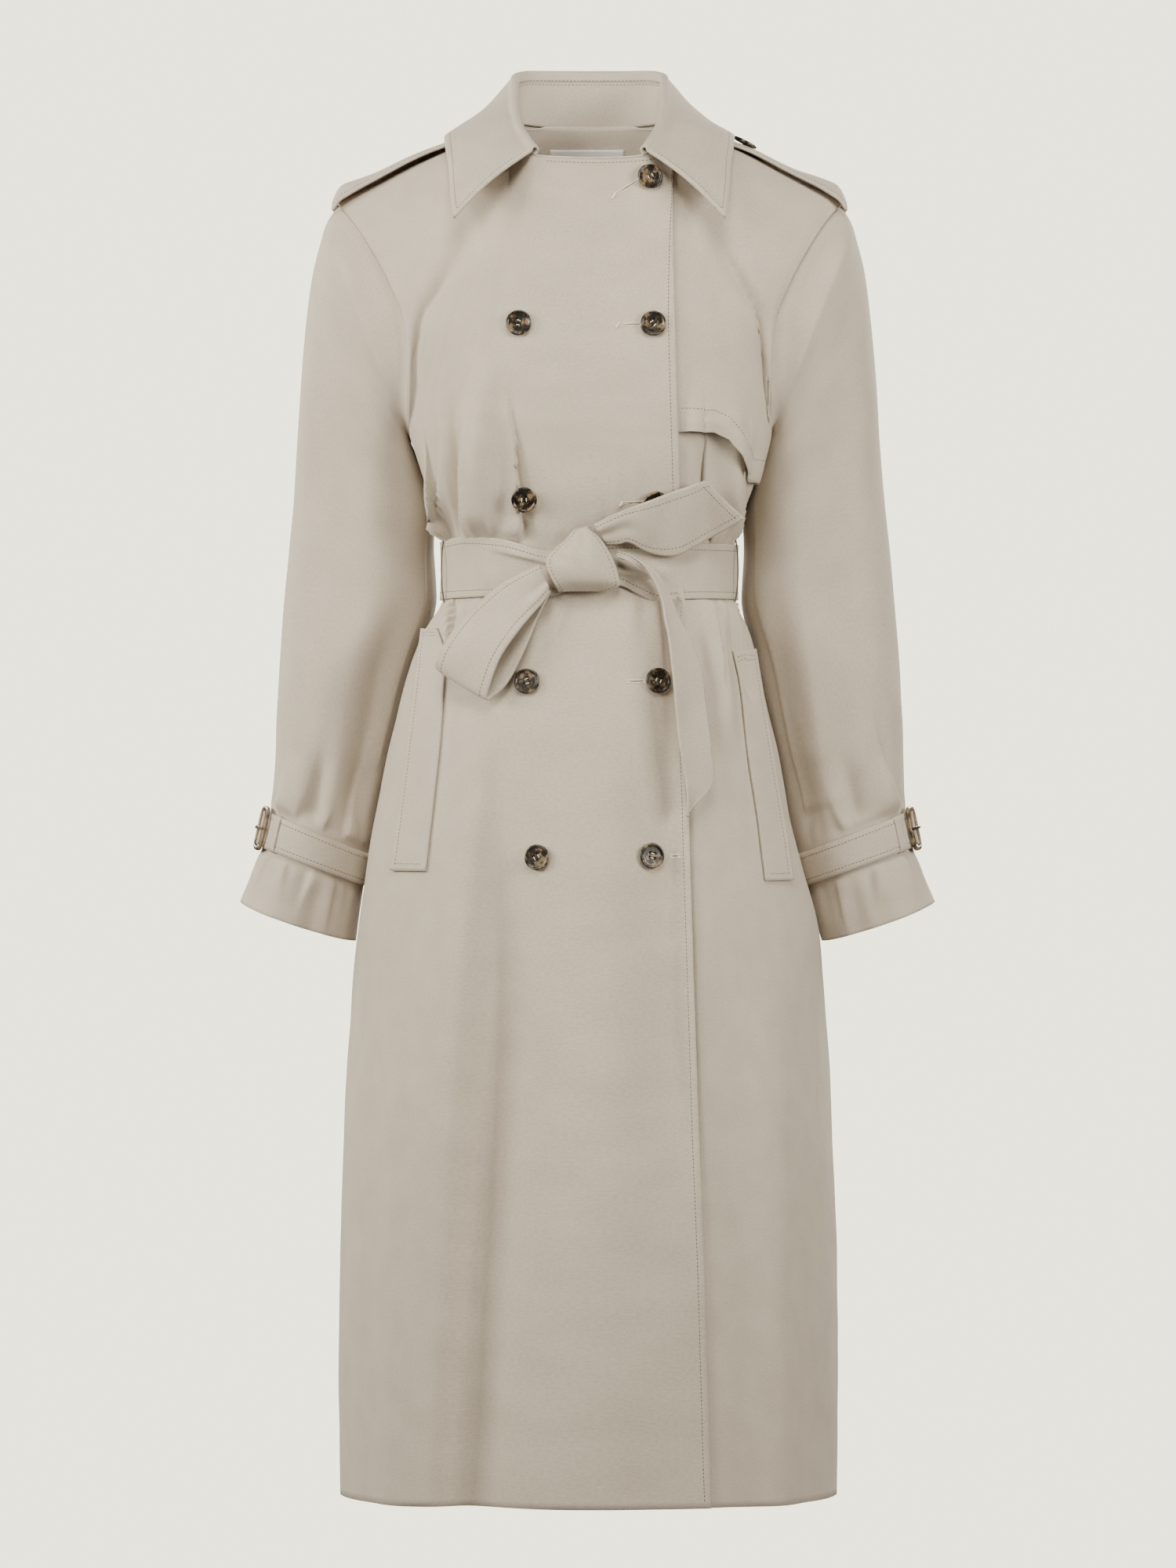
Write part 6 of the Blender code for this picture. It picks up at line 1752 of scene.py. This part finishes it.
def make_buttons():
    shape = button_shape()
    for k, button in enumerate(FRONT_BUTTONS):
        turn = np.linspace(0, 2 * math.pi, 24, endpoint=False)
        rim_x, rim_z = button.x + 0.012 * np.cos(turn), button.z + 0.012 * np.sin(turn)
        around, leans = on_right_front(rim_x, rim_z, 0.0)
        place, normal = on_right_front(button.x, button.z, 0.0)
        normal = unit(normal + leans.sum(axis=0))
        clear = max(0.0, float(((around - place) @ normal).max()))
        place = place + normal * (BUTTON_SHANK + clear)
        sew_button(shape, button.name, place, normal, 0.5 + k * 0.9)
    for side, sign in (("right", -1), ("left", 1)):
        x = EPAULETTE_BUTTON_X[side]
        at = (x - EPAULETTE_FROM) / (EPAULETTE_TO - EPAULETTE_FROM)
        seam_z = NECK_POINT[1] - (x - NECK_POINT[0]) * SHOULDER_SLOPE
        high = seam_z + float(read(EPAULETTE, "lift", at)) + BUTTON_SHANK
        axis = Vector((sign * SHOULDER_SLOPE, 0, 1)).normalized()
        place = (sign * x, EPAULETTE_BUTTON_Y[side], high)
        sew_button(shape, "button_epaulette_" + side, place, axis, 0.3)
    bpy.data.meshes.remove(shape)


def make_button_holes():
    """A worked slit to one side of each button of the outer column, with a loose thread. The slit
    is a near-black grain on the cloth, painted shadow of the cut.
    """
    slit, worked = bmesh.new(), bmesh.new()
    tails = []
    where = {button.name: button for button in FRONT_BUTTONS}
    for hole in BUTTON_HOLES:
        button = where[hole.button]
        way = -1 if hole.from_x < 0 else 1
        share = np.linspace(0, 1, 30)
        x = button.x + hole.from_x + way * hole.length * share
        z = button.z - hole.lean * hole.length * share
        middle, normal = on_right_front(x, z, 0.0)
        along = unit(np.gradient(middle, axis=0))
        across = np.cross(normal, along)
        # the cut, a near-black grain lying on the cloth as painted shadow
        stitch(slit, middle[15], along[15], normal[15], hole.length * 0.86, 0.0008, 0.0006)
        for k in range(30):
            for side in (-1, 1):
                spot = middle[k] + across[k] * side * 0.0011
                stitch(worked, spot, across[k], normal[k], 0.0018, 0.0007, 0.0005)
        if hole.tail:
            tail_x = x[-1] + way * np.linspace(0, 0.004, 12)
            for turn in (0.0, 1.9):
                bend = 0.0016 * np.sin(np.linspace(0, 5, 12) + turn)
                tail_z = z[-1] - np.linspace(0, 0.004, 12) * (0.3 + hole.lean) + bend
                path, _ = on_right_front(tail_x, tail_z, 0.0007)
                tails.append(path)
    for name, bm, finish in (("painted_shadow_slits", slit, "hole"), ("stitches", worked, "pale thread")):
        name = "buttonhole_" + name
        add_piece(name, mesh_of(bm, name), finish, (), "coat_cloth")
    thread_tube("buttonhole_threads", tails, 0.0006)


# ---- studio
def shining(node, colour, strength):
    """Gives a background or an emission its colour and strength."""
    set_inputs(node, Color=(*colour, 1), Strength=strength)
    return node.outputs[0]


def seen_otherwise(tree, plain, seen, share, output):
    """Shows the camera so much of one shader, and everything else another."""
    path = tree.nodes.new("ShaderNodeLightPath")
    mix = tree.nodes.new("ShaderNodeMixShader")
    seen_share = math_node(tree, "MULTIPLY", path.outputs["Is Camera Ray"], share)
    for socket, source in zip(mix.inputs, (seen_share, plain, seen)):
        tree.links.new(source, socket)
    tree.links.new(mix.outputs[0], tree.nodes[output].inputs["Surface"])


def add_object(name, data, place=(0, 0, 0), turn=(0, 0, 0)):
    made = bpy.data.objects.new(name, data)
    made.location, made.rotation_euler = place, turn
    bpy.context.scene.collection.objects.link(made)
    return made


def make_stage():
    """A wide pale floor, a soft light on the left and above, and the camera."""
    scene = bpy.context.scene
    look = scene.trench_studio
    bm = bmesh.new()
    bmesh.ops.create_circle(bm, cap_ends=True, segments=96, radius=look.floor_radius)
    bmesh.ops.translate(bm, verts=bm.verts, vec=(0, 0, look.floor_z))
    mesh = bpy.data.meshes.new("floor")
    bm.to_mesh(mesh)
    bm.free()
    made, tree, shader = new_material("pale floor", 0.9)
    place = tree.nodes.new("ShaderNodeTexCoord").outputs["Object"]
    grain = noise_node(tree, place, 3.0, 3.0)
    colour_by(tree, shader, grain, [(0.3, scaled(look.floor, 0.99)), (0.7, tuple(look.floor))])
    glow = shining(tree.nodes.new("ShaderNodeEmission"), look.backdrop, look.floor_glow)
    seen_otherwise(tree, shader.outputs[0], glow, 0.8, "Material Output")
    mesh.materials.append(made)
    add_object("studio_floor", mesh)

    scene.world = bpy.data.worlds.new("studio")
    scene.world.use_nodes = True
    tree = scene.world.node_tree
    fill = shining(tree.nodes["Background"], look.fill_colour, look.fill)
    seen = shining(tree.nodes.new("ShaderNodeBackground"), look.backdrop, 1.0)
    seen_otherwise(tree, fill, seen, 1.0, "World Output")

    for name, place, aim, size, spread, power in STUDIO_LIGHTS:
        lamp = bpy.data.lights.new(name, "AREA")
        lamp.shape = "SQUARE"
        lamp.size = size
        lamp.spread = math.radians(spread)
        lamp.energy = power * look.light
        lamp.color = LAMP_COLOUR
        turn = (Vector(aim) - Vector(place)).to_track_quat("-Z", "Y").to_euler()
        add_object(name, lamp, place, turn)

    camera = bpy.data.cameras.new("camera")
    camera.lens = look.lens
    camera.sensor_width = 36.0
    camera.clip_end = 100.0
    place = (look.camera_x, -look.camera_distance, look.camera_z)
    scene.camera = add_object("camera", camera, place, (math.radians(90), 0, 0))


LAMP_COLOUR = (1.0, 0.95, 0.84)


STUDIO_LIGHTS = [  # name, place, aim, size, spread in degrees, power
    ("key", (-1.9, -2.6, 0.55), (0.0, 0.0, -0.25), 1.1, 75.0, 9.5),
    ("upper", (0.0, -2.2, 1.7), (0.0, 0.0, -0.2), 1.2, 100.0, 20.0),
    ("left", (-2.6, -0.9, 0.3), (0.0, 0.0, -0.3), 1.2, 90.0, 25.0),
    ("right", (2.4, -1.8, 0.2), (0.0, 0.0, -0.3), 1.2, 90.0, 24.0),
    ("back", (1.5, 2.8, 0.9), (0.0, 0.0, -0.45), 1.4, 80.0, 34.0),
    ("back left", (-2.0, 2.4, 0.7), (0.0, 0.0, -0.45), 1.4, 80.0, 20.0),
]


# ---- sidebar
COLOUR = {"subtype": "COLOR", "min": 0, "max": 1}
LENGTH = {"unit": "LENGTH"}


class TrenchSizes(bpy.types.PropertyGroup):
    """Sizes of the coat's finish that a user would change."""

    pleat_depth: FloatProperty(
        name="Pleat depth", description="How deep the pleats are", default=1.9, min=0, max=2
    )


class TrenchColours(bpy.types.PropertyGroup):
    """Colours of the coat's cloth, horn and thread."""

    cloth: FloatVectorProperty(
        name="Cloth", description="Colour of the twill", default=(0.5, 0.438, 0.362), **COLOUR
    )
    # A little darker than the cloth that the belt is made of: painted shade.
    belt: FloatVectorProperty(
        name="Belt",
        description="Colour of the belt's twill",
        default=(0.48, 0.421, 0.346), **COLOUR,
    )
    label: FloatVectorProperty(
        name="Label", description="Colour of the blank label", default=(1.0, 0.94, 0.95), **COLOUR
    )
    # The topstitching thread is near the cloth's colour; this much darker colour is painted shade
    # of the needle holes and the groove that each stitch sits in.
    thread: FloatVectorProperty(
        name="Thread",
        description="Colour of the sewing thread with painted shade",
        default=(0.105, 0.087, 0.066), **COLOUR,
    )
    horn_dark: FloatVectorProperty(
        name="Dark horn",
        description="Ground colour of the buttons",
        default=(0.008, 0.006, 0.005), **COLOUR,
    )
    horn_tan: FloatVectorProperty(
        name="Tan horn",
        description="Colour of the buttons' blotches",
        default=(0.16, 0.115, 0.065), **COLOUR,
    )


class TrenchStudio(bpy.types.PropertyGroup):
    """The floor, the light and the camera."""

    floor: FloatVectorProperty(
        name="Floor", description="Colour of the floor", default=(0.8, 0.79, 0.75), **COLOUR
    )
    backdrop: FloatVectorProperty(
        name="Backdrop",
        description="Colour behind the coat",
        default=(3.09, 3.01, 2.35), subtype="COLOR", min=0, max=4,
    )
    fill_colour: FloatVectorProperty(
        name="Fill colour",
        description="Colour of the light from all round",
        default=(1.0, 0.965, 0.9), **COLOUR,
    )
    fill: FloatProperty(
        name="Fill", description="Strength of the light from all round", default=0.05, min=0
    )
    light: FloatProperty(
        name="Light", description="Share of the lamps' full power", default=1.0, min=0
    )
    floor_glow: FloatProperty(
        name="Floor glow", description="How pale the floor looks to the camera alone", default=0.75
    )
    floor_z: FloatProperty(
        name="Floor height", description="Height of the floor", default=-2.2, **LENGTH
    )
    floor_radius: FloatProperty(
        name="Floor radius", description="Radius of the floor", default=8.5, **LENGTH
    )
    lens: FloatProperty(
        name="Lens", description="Focal length in mm", default=176.4, subtype="DISTANCE_CAMERA"
    )
    camera_x: FloatProperty(
        name="Camera X", description="Camera's place across", default=-0.0014, **LENGTH
    )
    camera_z: FloatProperty(
        name="Camera height", description="Height of the camera", default=-0.5786, **LENGTH
    )
    camera_distance: FloatProperty(
        name="Camera distance",
        description="How far in front of the coat the camera stands",
        default=7.0, **LENGTH,
    )


class TRENCH_OT_panels(bpy.types.Operator):
    """Make the fronts and the back, with the stitching along the overlap and the throat"""

    bl_idname = "trench.panels"
    bl_label = "Fronts and back"

    def execute(self, context):
        make_panels()
        return {"FINISHED"}


class TRENCH_OT_storm_flap(bpy.types.Operator):
    """Make the storm flap over the left front"""

    bl_idname = "trench.storm_flap"
    bl_label = "Storm flap"

    def execute(self, context):
        make_storm_flap()
        return {"FINISHED"}


class TRENCH_OT_sleeves(bpy.types.Operator):
    """Make the two sleeves"""

    bl_idname = "trench.sleeves"
    bl_label = "Sleeves"

    def execute(self, context):
        make_sleeves()
        return {"FINISHED"}


class TRENCH_OT_cuff_straps(bpy.types.Operator):
    """Make the cuff straps with their keepers, buckles and prongs"""

    bl_idname = "trench.cuff_straps"
    bl_label = "Cuff straps"

    def execute(self, context):
        make_straps()
        return {"FINISHED"}


class TRENCH_OT_collar(bpy.types.Operator):
    """Make the collar and its stand"""

    bl_idname = "trench.collar"
    bl_label = "Collar"

    def execute(self, context):
        make_collar()
        return {"FINISHED"}


class TRENCH_OT_neck_inside(bpy.types.Operator):
    """Make the facing and the blank label inside the back neck"""

    bl_idname = "trench.neck_inside"
    bl_label = "Neck facing and label"

    def execute(self, context):
        make_neck_inside()
        return {"FINISHED"}


class TRENCH_OT_epaulettes(bpy.types.Operator):
    """Make the epaulettes"""

    bl_idname = "trench.epaulettes"
    bl_label = "Epaulettes"

    def execute(self, context):
        make_epaulettes()
        return {"FINISHED"}


class TRENCH_OT_belt(bpy.types.Operator):
    """Make the belt's band, knot, bow and ends, and its thread carriers"""

    bl_idname = "trench.belt"
    bl_label = "Tied belt"

    def execute(self, context):
        make_belt()
        return {"FINISHED"}


class TRENCH_OT_pockets(bpy.types.Operator):
    """Make the pocket welts"""

    bl_idname = "trench.pockets"
    bl_label = "Pocket welts"

    def execute(self, context):
        make_pockets()
        return {"FINISHED"}


class TRENCH_OT_buttons(bpy.types.Operator):
    """Make the buttons and the buttonholes"""

    bl_idname = "trench.buttons"
    bl_label = "Buttons and buttonholes"

    def execute(self, context):
        make_buttons()
        make_button_holes()
        return {"FINISHED"}


class TRENCH_OT_stage(bpy.types.Operator):
    """Make the floor, the light and the camera"""

    bl_idname = "trench.stage"
    bl_label = "Studio"

    def execute(self, context):
        make_stage()
        return {"FINISHED"}


PIECES = (
    TRENCH_OT_panels,
    TRENCH_OT_storm_flap,
    TRENCH_OT_sleeves,
    TRENCH_OT_cuff_straps,
    TRENCH_OT_collar,
    TRENCH_OT_neck_inside,
    TRENCH_OT_epaulettes,
    TRENCH_OT_belt,
    TRENCH_OT_pockets,
    TRENCH_OT_buttons,
    TRENCH_OT_stage,
)


class TRENCH_PT_coat(bpy.types.Panel):
    """Lists the pieces of the coat and what can be changed about them"""

    bl_label = "Trench coat"
    bl_idname = "TRENCH_PT_coat"
    bl_space_type = "VIEW_3D"
    bl_region_type = "UI"
    bl_category = "Coat"

    def draw(self, context):
        scene = context.scene
        for group in (scene.trench_sizes, scene.trench_colours, scene.trench_studio):
            box = self.layout.box()
            for name in group.__annotations__:
                box.prop(group, name)
        for piece in PIECES:
            self.layout.operator(piece.bl_idname)


CLASSES = (TrenchSizes, TrenchColours, TrenchStudio, *PIECES, TRENCH_PT_coat)


def register():
    for each in CLASSES:
        bpy.utils.register_class(each)
    bpy.types.Scene.trench_sizes = PointerProperty(type=TrenchSizes)
    bpy.types.Scene.trench_colours = PointerProperty(type=TrenchColours)
    bpy.types.Scene.trench_studio = PointerProperty(type=TrenchStudio)


def unregister():
    del bpy.types.Scene.trench_sizes
    del bpy.types.Scene.trench_colours
    del bpy.types.Scene.trench_studio
    for each in reversed(CLASSES):
        bpy.utils.unregister_class(each)


def lay_out():
    """The grids that the other pieces lie on."""
    global RIGHT_FRONT, LEFT_FRONT, BACK, ARMHOLES
    RIGHT_FRONT = make_right_front()
    LEFT_FRONT = make_left_front()
    BACK = make_back()
    ARMHOLES = {side: armhole(side) for side in ("right", "left")}


def main():
    register()
    lay_out()
    bpy.ops.trench.stage()
    bpy.ops.trench.panels()
    bpy.ops.trench.storm_flap()
    bpy.ops.trench.sleeves()
    bpy.ops.trench.cuff_straps()
    bpy.ops.trench.collar()
    bpy.ops.trench.neck_inside()
    bpy.ops.trench.epaulettes()
    bpy.ops.trench.belt()
    bpy.ops.trench.pockets()
    bpy.ops.trench.buttons()


if __name__ == "__main__":
    main()
